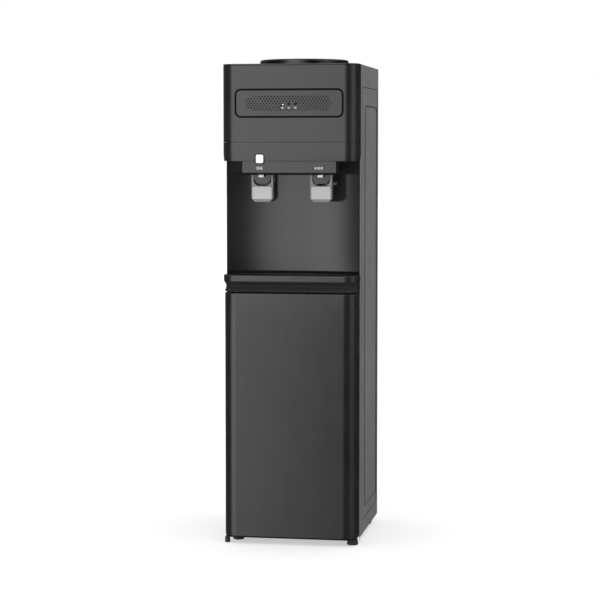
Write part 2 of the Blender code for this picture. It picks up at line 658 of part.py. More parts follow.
def make_hoses():
    shank = [(0.1105, 0.7280), (0.1030, SHANK_Z - 0.003), (0.0930, SHANK_Z)]
    x, depth = HOSE_HOLES[0]
    cold = [(x, depth, 0.7510), (x, depth, 0.7300), (0.034, 0.160, 0.7120), (0.052, 0.128, 0.7100)]
    cold += [(TAP_X, *end) for end in shank]
    x, depth = HOT_TANK[0] - 0.010, HOT_TANK[1] - 0.010
    hot = [(x, depth, 0.6615), (x, depth, 0.6780), (-0.057, 0.140, 0.6980), (-0.059, 0.1250, 0.7080)]
    hot += [(-TAP_X, *end) for end in shank]
    x, depth = HOSE_HOLES[1]
    low_x, low_depth = HOT_TANK[0] + 0.002, HOT_TANK[1] + 0.028
    feed = [(x, depth, 0.7510), (x, depth, 0.7200), (-0.036, 0.198, 0.6900)]
    feed += [(low_x, low_depth, 0.6720), (low_x, low_depth, 0.6615)]
    drain = [(HOT_TANK[0], HOT_TANK[1] + 0.0446, 0.5600), (-0.050, 0.2350, 0.5595), (-0.084, 0.2600, 0.5570)]
    drain += [(FITTINGS_X, 0.2740, DRAIN_Z), (FITTINGS_X, 0.2876, DRAIN_Z)]
    for name, anchors in (("cold_hose", cold), ("hot_hose", hot), ("feed_hose", feed), ("drain_hose", drain)):
        tube(name, smooth_route([(x, behind(depth), z) for x, depth, z in anchors]), 0.0040, "silicone")


def make_cooling():
    centre = (-0.020, behind(0.2420), 0)
    shell = [(0, 0.0325), (0.0300, 0.0325), (0.0440, 0.0410), (0.0490, 0.0560), (0.0490, 0.0980), (0.0510, 0.0990)]
    shell += [(0.0510, 0.1010), (0.0490, 0.1020), (0.0490, 0.1260), (0.0420, 0.1420), (0.0260, 0.1520), (0, 0.1560)]
    compressor = turned("compressor", shell, centre, "black_gloss", steps=36)
    join(compressor, box("start_relay", (0.0200, 0.0560), (0.2260, 0.2580), (0.0650, 0.0940)))
    cradle = box("compressor_cradle", (-0.0850, 0.0450), (0.2000, 0.2840), (0.0300, 0.0322), "zinc_steel")
    for x in (-0.075, 0.035):
        for depth in (0.208, 0.276):
            join(cradle, rod("cradle_post", (x, behind(depth)), 0.0060, 0.0141, 0.0310, steps=16))

    middle, half, pitch, low, runs = 0.030, 0.0680, 0.0400, 0.1700, 18
    coil_depth = 0.3120
    end = -half - pitch / 2
    points = [(end, 0.3010, low), (end, coil_depth - 0.003, low), (end + 0.004, coil_depth, low)]
    for run in range(runs):
        side = 1 if run % 2 == 0 else -1
        z = low + run * pitch
        points.append((side * half, coil_depth, z))
        if run == runs - 1:
            break
        for step in range(1, 8):
            angle = -math.pi / 2 + math.pi * step / 8
            reach = side * (half + pitch / 2 * math.cos(angle))
            points.append((reach, coil_depth, z + pitch / 2 * (1 + math.sin(angle))))
        points.append((side * half, coil_depth, z + pitch))
    points += [(end + 0.004, coil_depth, z), (end, coil_depth - 0.003, z), (end, 0.3010, z)]
    route = [(middle + x, behind(depth), z) for x, depth, z in points]
    tube("condenser_coil", route, 0.0024, "black_gloss", resolution=1)

    frame = box("condenser_frame", (middle - 0.0580, middle + 0.0580), (0.2986, 0.3040), (0.1500, 0.1560))
    for side in (-1, 1):
        x = middle + side * 0.0540
        join(frame, box("frame_rail", (x - 0.0040, x + 0.0040), (0.2986, 0.3092), (0.1500, 0.8700)))


def fitting(name, half_width, depth, z, half_height):
    """A block on the column of fittings at the back."""
    return box(name, (FITTINGS_X - half_width, FITTINGS_X + half_width), depth, (z - half_height, z + half_height))


def make_rear_fittings():
    plate = box("rear_fittings_plate", (-0.1170, -0.0670), (0.2986, 0.3002), (INLET_Z - 0.0190, SWITCH_Z[0] + 0.0180))
    for z in SWITCH_Z:
        join(plate, fitting("switch_body", 0.0080, (0.2840, 0.2990), z, 0.0110))
        join(plate, fitting("switch_lip", 0.0095, (0.2990, 0.3010), z, 0.0125))
    join(plate, fitting("inlet_body", 0.0140, (0.2750, 0.2990), INLET_Z, 0.0107))
    for z in SWITCH_Z:
        cut(plate, fitting("switch_pocket", 0.0064, (0.2900, 0.3100), z, 0.0098))
    cut(plate, fitting("inlet_pocket", 0.0120, (0.2790, 0.3100), INLET_Z, 0.0080))
    for x, z in ((-0.007, -0.002), (0.0, 0.002), (0.007, -0.002)):
        x, z = FITTINGS_X + x, INLET_Z + z
        join(plate, box("inlet_pin", (x - 0.001, x + 0.001), (0.2780, 0.2960), (z - 0.002, z + 0.002)))

    shape = [(-0.0045, -0.0045), (0.0016, -0.0088), (0.0036, -0.0086), (0.0018, 0.0)]
    shape += [(0.0036, 0.0086), (0.0016, 0.0088), (-0.0045, 0.0045)]
    tilt = math.radians(-8)
    for name, z in zip(("heat", "cool"), SWITCH_Z):
        outline = []
        for out, up in shape:
            y = behind(0.2985) + out * math.cos(tilt) - up * math.sin(tilt)
            outline.append((y, z + out * math.sin(tilt) + up * math.cos(tilt)))
        finish = "rocker_red" if name == "heat" else "rocker_green"
        prism(f"{name}_switch", outline, FITTINGS_X - 0.0060, FITTINGS_X + 0.0060, finish, axis="X")

    centre = (FITTINGS_X, FRONT, DRAIN_Z)
    spout = [(0.0045, 0.2884), (0.0080, 0.2884), (0.0080, 0.2986), (0.0110, 0.2986), (0.0110, 0.3005)]
    spout += [(0.0070, 0.3005), (0.0070, 0.3130), (0.0045, 0.3130)]
    turned("drain_spout", spout, centre, "black_matt", steps=24, along="Y", closed=True)
    cap = [(0, 0.3135), (0.0073, 0.3135), (0.0073, 0.3020), (0.0098, 0.3020), (0.0098, 0.3170), (0.0088, 0.3182)]
    turned("drain_cap", cap + [(0, 0.3182)], centre, "black_matt", steps=24, along="Y")


def main():
    for old in list(bpy.data.objects):
        bpy.data.objects.remove(old)
    make_base()
    make_side_panel("side_panel_left", -1)
    make_side_panel("side_panel_right", 1)
    make_back_panel()
    make_top_cover()
    make_head()
    make_fascia()
    make_child_lock()
    make_niche()
    make_shelf()
    make_tray()
    make_door()
    make_liner()
    make_tap("hot", -TAP_X)
    make_tap("cold", TAP_X)
    make_bottle_seat()
    make_cold_side()
    make_frame()
    make_hot_side()
    make_hoses()
    make_cooling()
    make_rear_fittings()


main()
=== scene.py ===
# %% [markdown]
# # A floor-standing water dispenser
#
# This lesson builds the looks of a tall, charcoal-coloured water dispenser around a measured frame. The
# frame is an assembly of plain solids with real joints, so every place and size is already known. What is
# left is what a maker calls finishing: soft edges, moulded and painted surfaces, printed marks, screws
# and wires.
#
# Each step starts with a short text like this one, followed by a short cell of code.

# %% Loading the frame
import json
import math

import bmesh
import bpy
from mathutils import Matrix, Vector


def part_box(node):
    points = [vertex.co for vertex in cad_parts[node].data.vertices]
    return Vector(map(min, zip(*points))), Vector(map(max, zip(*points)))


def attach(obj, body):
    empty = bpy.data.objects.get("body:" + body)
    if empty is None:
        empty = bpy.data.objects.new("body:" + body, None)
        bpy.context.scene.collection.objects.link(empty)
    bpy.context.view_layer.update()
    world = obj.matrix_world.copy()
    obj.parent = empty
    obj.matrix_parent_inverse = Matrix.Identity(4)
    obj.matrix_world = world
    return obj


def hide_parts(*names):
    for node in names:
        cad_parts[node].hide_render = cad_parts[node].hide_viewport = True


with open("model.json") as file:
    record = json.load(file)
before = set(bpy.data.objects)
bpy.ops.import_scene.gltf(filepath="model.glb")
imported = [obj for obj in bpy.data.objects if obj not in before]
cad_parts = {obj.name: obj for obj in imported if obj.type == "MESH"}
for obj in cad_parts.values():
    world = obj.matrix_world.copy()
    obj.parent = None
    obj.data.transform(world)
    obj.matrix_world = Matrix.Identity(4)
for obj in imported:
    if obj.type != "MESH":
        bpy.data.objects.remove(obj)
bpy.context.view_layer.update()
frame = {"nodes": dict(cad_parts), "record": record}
slot_of = {part["node"]: part["material_slot"] for part in frame["record"]["subparts"]}
body_of = {n: b for b, members in frame["record"]["behaviour"]["bodies"].items() for n in members}
millimetre = 0.001

# %% [markdown]
# ## Camera
#
# A product picture of something tall is taken from far away with a long lens, so its vertical edges stay
# nearly parallel. Here the camera stands four metres off, a little to the right and a little below the
# top, and looks slightly down. With the sensor at 36 mm a lens of about 118 mm fills the picture.

# %% The camera
camera = bpy.data.objects.new("camera", bpy.data.cameras.new("camera"))
bpy.context.scene.collection.objects.link(camera)
camera.data.sensor_width = 36.0
camera.data.lens = 117.72
camera.location = (0.682, -4.020, 0.800)
camera.rotation_euler = (math.radians(90 - 4.29), 0.0, math.radians(9.70))
bpy.context.scene.camera = camera
bpy.context.scene.view_settings.view_transform = "Standard"
print("camera at", tuple(camera.location))

# %% [markdown]
# ## Building node trees
#
# Shader trees and geometry trees are built in the same way: nodes are added, their settings are filled in
# and their sockets are linked. A few small helpers keep that short. `node` adds one node, sets its
# properties and its inputs, and an input that is itself a socket is linked instead of filled in. The
# others add one node of a kind that is needed often: arithmetic, a change of range, a vector.


# %% Helpers for node trees
def node(tree, kind, inputs=None, **settings):
    """Adds a node. inputs maps a socket's name or number to a value, or to a socket to link from."""
    made = tree.nodes.new(kind)
    for key, value in settings.items():
        setattr(made, key, value)
    for key, value in (inputs or {}).items():
        if isinstance(value, bpy.types.NodeSocket):
            tree.links.new(value, made.inputs[key])
        else:
            made.inputs[key].default_value = value
    return made


def calc(tree, operation, *values):
    """One Math node on up to three values or sockets, as its output socket."""
    return node(tree, "ShaderNodeMath", dict(enumerate(values)), operation=operation).outputs[0]


def remap(tree, value, start, end, low=0.0, high=1.0, soft=False):
    """Maps start..end to low..high and holds it there outside, softly if asked."""
    kind = "SMOOTHSTEP" if soft else "LINEAR"
    inputs = {0: value, 1: start, 2: end, 3: low, 4: high}
    return node(tree, "ShaderNodeMapRange", inputs, interpolation_type=kind).outputs[0]


def vector(tree, x=0.0, y=0.0, z=0.0):
    """A vector from three values or sockets."""
    return node(tree, "ShaderNodeCombineXYZ", {0: x, 1: y, 2: z}).outputs[0]


def vector_calc(tree, operation, *values):
    """One Vector Math node, as its output socket."""
    made = node(tree, "ShaderNodeVectorMath", dict(enumerate(values)), operation=operation)
    return made.outputs["Value" if operation in ("LENGTH", "DISTANCE") else "Vector"]


def object_place(tree):
    """Object coordinates, which are metres in the dispenser's own frame."""
    return node(tree, "ShaderNodeTexCoord").outputs["Object"]


def split(tree, value):
    """The X, Y and Z of a vector socket."""
    return node(tree, "ShaderNodeSeparateXYZ", {0: value}).outputs


def add_sockets(tree, direction, sockets):
    """Gives a tree named sockets. Each comes with its default number, or with the name of its kind."""
    for name, value in sockets.items():
        kind = value if isinstance(value, str) else type(value).__name__.title()
        socket = tree.interface.new_socket(name, in_out=direction, socket_type="NodeSocket" + kind)
        if kind != value:
            socket.default_value = value


print("helpers ready")

# %% [markdown]
# ## Effects that several finishes share
#
# Nothing real is one flat colour. A moulding has a fine spark-eroded grain, powder coat has an
# orange-peel ripple, hands leave soft smudges that change how sharply a surface mirrors, and dust settles
# on whatever faces up. Each of those is a node group, made once, with named inputs for its size and
# strength, and so is one more that paints shade along the creases pressed into a side sheet. All of them
# read Object coordinates, which are metres here, so a scale of 1000 means features of about a millimetre.


# %% Grain, smudges, dust, brushing and painted crease shade as node groups
def effect_group(name, inputs, outputs):
    tree = bpy.data.node_groups.new(name, "ShaderNodeTree")
    add_sockets(tree, "INPUT", inputs)
    add_sockets(tree, "OUTPUT", outputs)
    return tree, tree.nodes.new("NodeGroupInput").outputs, tree.nodes.new("NodeGroupOutput").inputs


def object_noise(tree, scale, detail=2.0, stretch=None):
    """A noise texture's value on Object coordinates, optionally stretched."""
    place = object_place(tree)
    if stretch:
        place = node(tree, "ShaderNodeMapping", {"Vector": place, "Scale": stretch}).outputs[0]
    return node(tree, "ShaderNodeTexNoise", {"Vector": place, "Scale": scale, "Detail": detail}).outputs[0]


# Fine grain: two sizes of noise as a height, for moulded plastic and for powder coat.
grain, given, out = effect_group("Fine grain", {"Scale": 1500.0, "Depth": 0.00002}, {"Normal": "Vector"})
coarse = object_noise(grain, given["Scale"], 3.0)
fine = object_noise(grain, calc(grain, "MULTIPLY", given["Scale"], 3.1), 1.0)
height = calc(grain, "MULTIPLY_ADD", fine, 0.35, coarse)
bump = node(grain, "ShaderNodeBump", {"Strength": 1.0, "Distance": given["Depth"], "Height": height})
grain.links.new(bump.outputs[0], out["Normal"])

# Smudges: broad soft patches crossed by finer streaks, as a mask between 0 and 1.
smudges, given, out = effect_group("Smudges", {"Scale": 9.0}, {"Mask": "Float"})
patches = object_noise(smudges, given["Scale"], 3.0)
streaks = object_noise(smudges, calc(smudges, "MULTIPLY", given["Scale"], 6.0), 4.0, (1.0, 1.0, 0.35))
mixed = calc(smudges, "MULTIPLY_ADD", streaks, 0.4, calc(smudges, "MULTIPLY", patches, 0.6))
smudges.links.new(remap(smudges, mixed, 0.35, 0.65, soft=True), out["Mask"])

# Dust: what lies on faces that point up, broken up by noise.
dust, given, out = effect_group("Settled dust", {"Scale": 900.0, "Amount": 0.2}, {"Mask": "Float"})
facing = split(dust, node(dust, "ShaderNodeNewGeometry").outputs["Normal"])[2]
up = remap(dust, facing, 0.5, 0.98)
broken = remap(dust, object_noise(dust, given["Scale"], 8.0), 0.35, 0.85)
lying = calc(dust, "MULTIPLY", calc(dust, "MULTIPLY", up, broken), given["Amount"])
dust.links.new(lying, out["Mask"])

# Brushing: long thin streaks along Z, for rolled and brushed metal.
brushing, given, out = effect_group(
    "Brushing", {"Scale": 900.0, "Depth": 0.00001}, {"Mask": "Float", "Normal": "Vector"}
)
lines = object_noise(brushing, given["Scale"], 2.0, (1.0, 1.0, 0.02))
bump = node(brushing, "ShaderNodeBump", {"Strength": 1.0, "Distance": given["Depth"], "Height": lines})
brushing.links.new(lines, out["Mask"])
brushing.links.new(bump.outputs[0], out["Normal"])

# Painted crease shade: a band along the outline of a rounded rectangle in Y and Z, darkest on the line,
# for the shade in what is pressed into a side sheet. Narrowing widens the band on the upright edges.
crease, given, out = effect_group(
    "Painted crease shade",
    {"Centre": "Vector", "Half Y": 0.1, "Half Z": 0.4, "Radius": 0.02, "Width": 0.002, "Narrowing": 0.22},
    {"Mask": "Float"},
)
offset = vector_calc(crease, "SUBTRACT", object_place(crease), given["Centre"])
aside = split(crease, vector_calc(crease, "ABSOLUTE", offset))
past_y = calc(crease, "MULTIPLY", calc(crease, "SUBTRACT", aside[1], given["Half Y"]), given["Narrowing"])
past_y = calc(crease, "ADD", past_y, given["Radius"])
past_z = calc(crease, "ADD", calc(crease, "SUBTRACT", aside[2], given["Half Z"]), given["Radius"])
corner_y, corner_z = calc(crease, "MAXIMUM", past_y, 0.0), calc(crease, "MAXIMUM", past_z, 0.0)
squares = calc(crease, "MULTIPLY_ADD", corner_y, corner_y, calc(crease, "MULTIPLY", corner_z, corner_z))
inside = calc(crease, "MINIMUM", calc(crease, "MAXIMUM", past_y, past_z), 0.0)
to_line = calc(crease, "ADD", calc(crease, "SQRT", squares), inside)
to_line = calc(crease, "SUBTRACT", to_line, given["Radius"])
line = remap(crease, calc(crease, "ABSOLUTE", to_line), 0.0, given["Width"], 1.0, 0.0, soft=True)
crease.links.new(line, out["Mask"])
print("effect groups:", [g.name for g in bpy.data.node_groups])

# %% [markdown]
# ## Finishes
#
# One function turns a short description into a material. The two ends of a colour and of a roughness are
# mixed by the smudge mask, dust greys the faces that point up, painted shade darkens the colour along any
# creases, and the grain goes into the normal. What is the same all over, such as the metal and the coat,
# is set on the shader itself.


# %% A function that makes a finish
def grey(level):
    return (level, level, level)


black, white = grey(0.0), grey(1.0)
painted_crease_shade, dust_colour = grey(0.02), (0.32, 0.31, 0.30)


def new_material(name):
    """A material with nodes, its tree and its shader."""
    made = bpy.data.materials.new(name)
    made.use_nodes = True
    return made, made.node_tree, made.node_tree.nodes["Principled BSDF"]


def place_group(tree, group, **inputs):
    made = node(tree, "ShaderNodeGroup", node_tree=group)
    for key, value in inputs.items():
        made.inputs[key.replace("_", " ")].default_value = value
    return made


def colour_mix(tree, share, one, two):
    """A colour between one and two, by a mask."""
    made = node(tree, "ShaderNodeMix", data_type="RGBA")
    tree.links.new(share, made.inputs["Factor"])
    for key, value in ((6, one), (7, two)):
        if isinstance(value, bpy.types.NodeSocket):
            tree.links.new(value, made.inputs[key])
        else:
            made.inputs[key].default_value = (*value, 1.0)
    return made.outputs[2]


def finish(
    name, colour, other, roughness, metallic=0.0, coat=0.0, grain_scale=1500.0, grain_depth=0.00002,
    smudge_scale=9.0, dust_amount=0.06, brushed=False, specular=0.5, crease_shades=(),
):
    """A finish between two colours and two roughnesses, with grain, smudges, dust and painted shade along
    creases.
    """
    made, tree, shader = new_material(name)
    shader.inputs["Metallic"].default_value = metallic
    shader.inputs["Coat Weight"].default_value = coat
    shader.inputs["Coat Roughness"].default_value = 0.08
    shader.inputs["Specular IOR Level"].default_value = specular
    mask = place_group(tree, smudges, Scale=smudge_scale).outputs["Mask"]
    lying = place_group(tree, dust, Amount=dust_amount).outputs["Mask"]
    base = colour_mix(tree, mask, colour, other)
    # Painted shade: each crease darkens the base colour along its outline towards a near-black.
    for strength, sizes in crease_shades:
        line = place_group(tree, crease, **sizes).outputs["Mask"]
        base = colour_mix(tree, calc(tree, "MULTIPLY", line, strength), base, painted_crease_shade)
    tree.links.new(colour_mix(tree, lying, base, dust_colour), shader.inputs["Base Color"])
    rough = remap(tree, mask, 0.0, 1.0, *roughness)
    if brushed:
        streaked = place_group(tree, brushing, Scale=grain_scale, Depth=grain_depth)
        rough = calc(tree, "MULTIPLY_ADD", streaked.outputs["Mask"], 0.12, rough)
        normal = streaked.outputs["Normal"]
    else:
        normal = place_group(tree, grain, Scale=grain_scale, Depth=grain_depth).outputs["Normal"]
    tree.links.new(calc(tree, "MULTIPLY_ADD", lying, 0.5, rough), shader.inputs["Roughness"])
    tree.links.new(normal, shader.inputs["Normal"])
    return made


print("finish() is ready")

# %% [markdown]
# ## The dispenser's own finishes
#
# The mouldings are black plastic whose grey comes mostly from what they mirror, so their own colour is
# very dark and their roughness is low. The steel sides are powder coated: a lighter, duller grey that
# shows its own colour, with painted shade along the outlines of the field and bead pressed into them. The
# levers are plastic sprayed with silver paint, which has fine flakes under a thin clear coat.

# %% Plastic, paint, metal, rubber and foam
moulding = finish("charcoal moulding", (0.0125, 0.0125, 0.0130), (0.0165, 0.0165, 0.0170), (0.13, 0.17))
niche_gloss = finish(
    "glossy niche wall", (0.0165, 0.0165, 0.0170), (0.0190, 0.0190, 0.0195), (0.09, 0.12),
    grain_depth=0.000004,
)
painted = dict(
    colour=(0.150, 0.150, 0.152), other=(0.162, 0.162, 0.164), roughness=(0.55, 0.62), specular=0.2,
    grain_scale=700.0, grain_depth=0.00005,
)
steel_paint = finish("powder-coated steel", **painted)
# Each side sheet has a large pressed field and a narrower bead inside it. Their outlines get painted
# shade, wider on the upright edges.
field = dict(Centre=(0.0, 0.0300, 0.4825), Half_Y=0.1155, Half_Z=0.4420, Radius=0.002, Width=0.0014)
bead = dict(Centre=(0.0, 0.0485, 0.4750), Half_Y=0.0885, Half_Z=0.4120, Radius=0.006, Width=0.0026)
side_paint = finish("pressed and painted side", **painted, crease_shades=[(0.85, field), (0.80, bead)])
black_gloss = finish("gloss black moulding", grey(0.006), grey(0.010), (0.14, 0.22))
black_matt = finish("matt black moulding", grey(0.014), grey(0.020), (0.42, 0.55))
silver_frame = finish(
    "silver-sprayed lever", (0.150, 0.150, 0.152), (0.175, 0.175, 0.177), (0.32, 0.40), 0.35, coat=0.2,
    grain_scale=4000.0, grain_depth=0.00001,
)
silver_pad = finish(
    "bright silver pad", grey(0.40), grey(0.44), (0.38, 0.46), 0.10, coat=0.3,
    grain_scale=3000.0, grain_depth=0.00002,
)
white_plastic = finish(
    "white moulding", (0.90, 0.90, 0.89), (0.94, 0.94, 0.93), (0.25, 0.35), dust_amount=0.05
)
zinc = finish(
    "zinc plate", (0.50, 0.51, 0.53), grey(0.60), (0.28, 0.42), 1.0, grain_scale=500.0, brushed=True
)
stainless = finish("stainless sheet", (0.60, 0.60, 0.61), grey(0.66), (0.20, 0.30), 1.0, brushed=True)
copper = finish("copper tube", (0.62, 0.28, 0.16), (0.72, 0.38, 0.24), (0.22, 0.40), 1.0, smudge_scale=40.0)
shelf_matt = finish("shelf moulding", grey(0.019), grey(0.023), (0.50, 0.60), specular=0.12)
enamel = finish("black stoved enamel", grey(0.010), grey(0.018), (0.28, 0.40), coat=0.3)
foam = finish(
    "expanded foam", (0.80, 0.79, 0.74), (0.70, 0.68, 0.60), (0.85, 0.95),
    grain_scale=350.0, grain_depth=0.0004,
)
silicone = finish("silicone hose", (0.70, 0.71, 0.70), (0.76, 0.77, 0.76), (0.40, 0.50))
rubber = finish("black rubber", grey(0.016), grey(0.026), (0.50, 0.66), grain_depth=0.00005)
red_rocker = finish("red rocker", (0.42, 0.020, 0.016), (0.50, 0.030, 0.024), (0.25, 0.35))
green_rocker = finish("green rocker", (0.018, 0.22, 0.045), (0.026, 0.28, 0.060), (0.25, 0.35))
smoked_lens = finish(
    "smoked lens", grey(0.004), grey(0.006), (0.05, 0.10), dust_amount=0.0, specular=0.12
)
# Matt near-black: the display trim's own colour, and painted shade for the display's holes, the line under
# the fascia, its right end, the ring round the child lock and the strip at the niche's foot.
black_trim_and_painted_shade = finish(
    "black trim and painted shade", grey(0.004), grey(0.007), (0.70, 0.85), dust_amount=0.0, specular=0.1
)
white_print = finish("white print", grey(0.78), grey(0.88), (0.45, 0.55), dust_amount=0.0)
print("finishes:", len(bpy.data.materials))

# %% [markdown]
# ## From a plain solid to a finished part
#
# A solid from the frame has knife edges, which no real moulding or sheet has: light catches a small
# radius on every edge, and that thin bright line is what makes a part look made. So each visible solid is
# copied, its loose triangles are welded, flat areas are merged into whole faces and the remaining corners
# are rounded with a Bevel modifier. A face with openings in it stays in triangles, because rounding could
# fold one big outline. Weighted normals keep the flat faces flat beside the rounds. The result takes the
# solid's place, and the solid itself stays hidden in the frame.


# %% Rounding the edges of a solid
def settle(obj):
    """Turns an object with modifiers into a plain mesh."""
    graph = bpy.context.evaluated_depsgraph_get()
    made = obj.evaluated_get(graph)
    mesh = bpy.data.meshes.new_from_object(made, preserve_all_data_layers=True, depsgraph=graph)
    obj.modifiers.clear()
    obj.data = mesh
    mesh.name = obj.name
    return obj


def to_mesh(name, bm):
    """Turns a bmesh into a mesh and frees it."""
    mesh = bpy.data.meshes.new(name)
    bm.to_mesh(mesh)
    bm.free()
    return mesh


def new_object(name, mesh, material):
    made = bpy.data.objects.new(name, mesh)
    bpy.context.scene.collection.objects.link(made)
    made.data.materials.clear()
    made.data.materials.append(material)
    return made


def smooth(mesh, degrees=40):
    mesh.shade_smooth()
    mesh.set_sharp_from_angle(angle=math.radians(degrees))


weld_distance, flat_angle = 0.000002, math.radians(0.5)
# Solids with openings in a flat face.
with_holes = {"back_panel", "base_pan", "cabinet_liner", "door_shell", "rear_fittings_plate", "tray_shelf"}


def refine(solid, material, edge=0.5, steps=2, corner=32):
    """A copy of a frame solid with edges rounded by edge millimetres, which stands for the solid."""
    bm = bmesh.new()
    bm.from_mesh(frame["nodes"][solid].data)
    bmesh.ops.remove_doubles(bm, verts=bm.verts, dist=weld_distance)
    bmesh.ops.dissolve_limit(bm, angle_limit=flat_angle, verts=bm.verts, edges=bm.edges)
    if solid in with_holes:
        bmesh.ops.triangulate(bm, faces=[face for face in bm.faces if len(face.verts) > 4])
    mesh = to_mesh(solid + ".fine", bm)
    piece = new_object(solid + ".fine", mesh, material)
    smooth(mesh, corner)
    rounding = piece.modifiers.new("rounding", "BEVEL")
    rounding.limit_method = "ANGLE"
    rounding.angle_limit = math.radians(corner)
    rounding.width = edge * millimetre
    rounding.segments = steps
    rounding.miter_outer = "MITER_ARC"
    rounding.loop_slide = solid not in with_holes
    weighting = piece.modifiers.new("weighting", "WEIGHTED_NORMAL")
    weighting.keep_sharp = True
    settle(piece)
    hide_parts(solid)
    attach(piece, body_of[solid])
    return piece


print("refine() is ready")

# %% [markdown]
# ## The cabinet's mouldings and sheets
#
# Thick mouldings get an edge of most of a millimetre, thin sheet steel gets a third of one. The table
# below gives each solid its finish and its edge. The round niche wall isn't in it, because it is made
# from its rule further down.

# %% Finishing the visible solids
refined = [
    (moulding, 0.7, "head_panel head_lower hot_tap_body cold_tap_body"),
    (moulding, 0.6, "drip_tray door_shell cabinet_liner top_cover"),
    (moulding, 0.4, "display_insert tap_fascia door_inner_panel"),
    (black_trim_and_painted_shade, 0.4, "display_trim"),
    (smoked_lens, 0.2, "indicator_lens_heat indicator_lens_power indicator_lens_cool"),
    (white_plastic, 0.4, "child_lock_button hot_nozzle cold_nozzle"),
    (white_plastic, 0.3, "bottle_probe"),
    (silver_frame, 0.7, "hot_lever cold_lever"),
    (silver_pad, 0.8, "hot_lever_pad cold_lever_pad"),
    (stainless, 0.3, "hot_pivot_pin cold_pivot_pin"),
    (shelf_matt, 0.5, "tray_shelf"),
    (shelf_matt, 0.3, "base_pan"),
    (side_paint, 0.3, "side_panel_left side_panel_right"),
    (steel_paint, 0.2, "back_panel"),
    (rubber, 0.5, "foot_front_left foot_front_right foot_rear_left foot_rear_right"),
    (black_gloss, 0.5, "bottle_seat"),
    (black_matt, 0.5, "drain_cap"),
    (black_matt, 0.4, "door_magnet hinge_corner_leg"),
    (black_matt, 0.3, "rear_fittings_plate drain_spout"),
    (enamel, 0.4, "door_pin_lower door_pin_upper condenser_frame"),
    (red_rocker, 0.3, "heat_switch"),
    (green_rocker, 0.3, "cool_switch"),
]
for material, edge, solids in refined:
    for solid in solids.split():
        refine(solid, material, edge)
print("refined", sum(len(solids.split()) for material, edge, solids in refined), "solids")

# %% [markdown]
# ## What keeps its plain solid
#
# Tanks, hoses and the compressor are hidden until a cover is off, and the drip grille's narrow slots are
# crisp already. Their solids are right as they are, so they only take a finish.

# %% Finishes for the plain solids
plain = {
    "drip_grille": black_gloss,
    "cold_tank": stainless,
    "hot_tank": stainless,
    "heater_band": zinc,
    "evaporator_coil": copper,
    "insulation_jacket": foam,
    "tank_frame": zinc,
    "cold_hose": silicone,
    "hot_hose": silicone,
    "feed_hose": silicone,
    "drain_hose": silicone,
    "compressor": enamel,
    "compressor_cradle": zinc,
}
for solid, material in plain.items():
    mesh = frame["nodes"][solid].data
    mesh.materials.clear()
    mesh.materials.append(material)
print("plain solids", len(plain))

# %% [markdown]
# ## Geometry Nodes
#
# What repeats is described once and placed by rule. A geometry tree has named inputs for its sizes; a
# small function puts it on an empty object as a modifier, fills its inputs by their identifiers, turns
# the result into a plain mesh and takes the modifier off again.


# %% Running a geometry tree
def geometry_tree(name, inputs):
    tree = bpy.data.node_groups.new(name, "GeometryNodeTree")
    add_sockets(tree, "INPUT", {"Geometry": "Geometry", **inputs, "Material": "Material"})
    add_sockets(tree, "OUTPUT", {"Geometry": "Geometry"})
    return tree, tree.nodes.new("NodeGroupInput").outputs, tree.nodes.new("NodeGroupOutput").inputs


def moved(tree, shape, **how):
    """A shape with a Translation or a Rotation."""
    return node(tree, "GeometryNodeTransform", {"Geometry": shape, **how}).outputs[0]


def copies_on(tree, points, shape, **how):
    """A copy of a shape on every point."""
    return node(tree, "GeometryNodeInstanceOnPoints", {"Points": points, "Instance": shape, **how}).outputs[0]


def close_tree(tree, shape, material, out):
    """Every tree ends the same way: real geometry, with its material."""
    real = node(tree, "GeometryNodeRealizeInstances", {0: shape})
    painted = node(tree, "GeometryNodeSetMaterial", {0: real.outputs[0], "Material": material})
    tree.links.new(painted.outputs[0], out["Geometry"])


def grow(name, tree, body, slot, mesh=None, **sizes):
    """Runs a geometry tree on a mesh, and gives the plain piece to a body."""
    piece = bpy.data.objects.new(name, mesh or bpy.data.meshes.new(name))
    bpy.context.scene.collection.objects.link(piece)
    modifier = piece.modifiers.new("tree", "NODES")
    modifier.node_group = tree
    for socket in tree.interface.items_tree:
        key = socket.name.replace(" ", "_").lower()
        if socket.in_out == "INPUT" and key in sizes:
            modifier[socket.identifier] = sizes[key]
    settle(piece)
    smooth(piece.data)
    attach(piece, body)
    print(name, "faces", len(piece.data.polygons))
    return piece


# %% [markdown]
# ## The niche wall, from its rule
#
# The wall behind the taps is a shallow trough: deepest in the middle and rising faster and faster towards
# its edges. That is a power law of the distance from the middle, so the wall can be made from it: a flat
# grid is bent by one formula, given its thickness by extrusion, and bored for the two tap shanks. Many
# narrow strips matter here, because the wall is glossy and its long reflections would show any facet.

# %% The wall's geometry tree
wall_tree, given, out = geometry_tree(
    "Bent wall",
    {
        "Half Width": 0.135,
        "Bottom": 0.5,
        "Top": 0.8,
        "Middle Y": -0.09,
        "Edge Y": -0.11,
        "Power": 2.6,
        "Wall": 0.0025,
        "Shank Radius": 0.0084,
        "Shank Spacing": 0.12,
        "Shank Z": 0.745,
    },
)
t = wall_tree
wide = calc(t, "MULTIPLY", given["Half Width"], 2.0)
tall = calc(t, "SUBTRACT", given["Top"], given["Bottom"])
sheet = node(t, "GeometryNodeMeshGrid", {"Size X": wide, "Size Y": tall, "Vertices X": 121, "Vertices Y": 9})
at = split(t, node(t, "GeometryNodeInputPosition").outputs[0])
share = calc(t, "DIVIDE", calc(t, "ABSOLUTE", at[0]), given["Half Width"])
rise = calc(t, "POWER", share, given["Power"])
fall = calc(t, "SUBTRACT", given["Edge Y"], given["Middle Y"])
bent_y = calc(t, "MULTIPLY_ADD", rise, fall, given["Middle Y"])
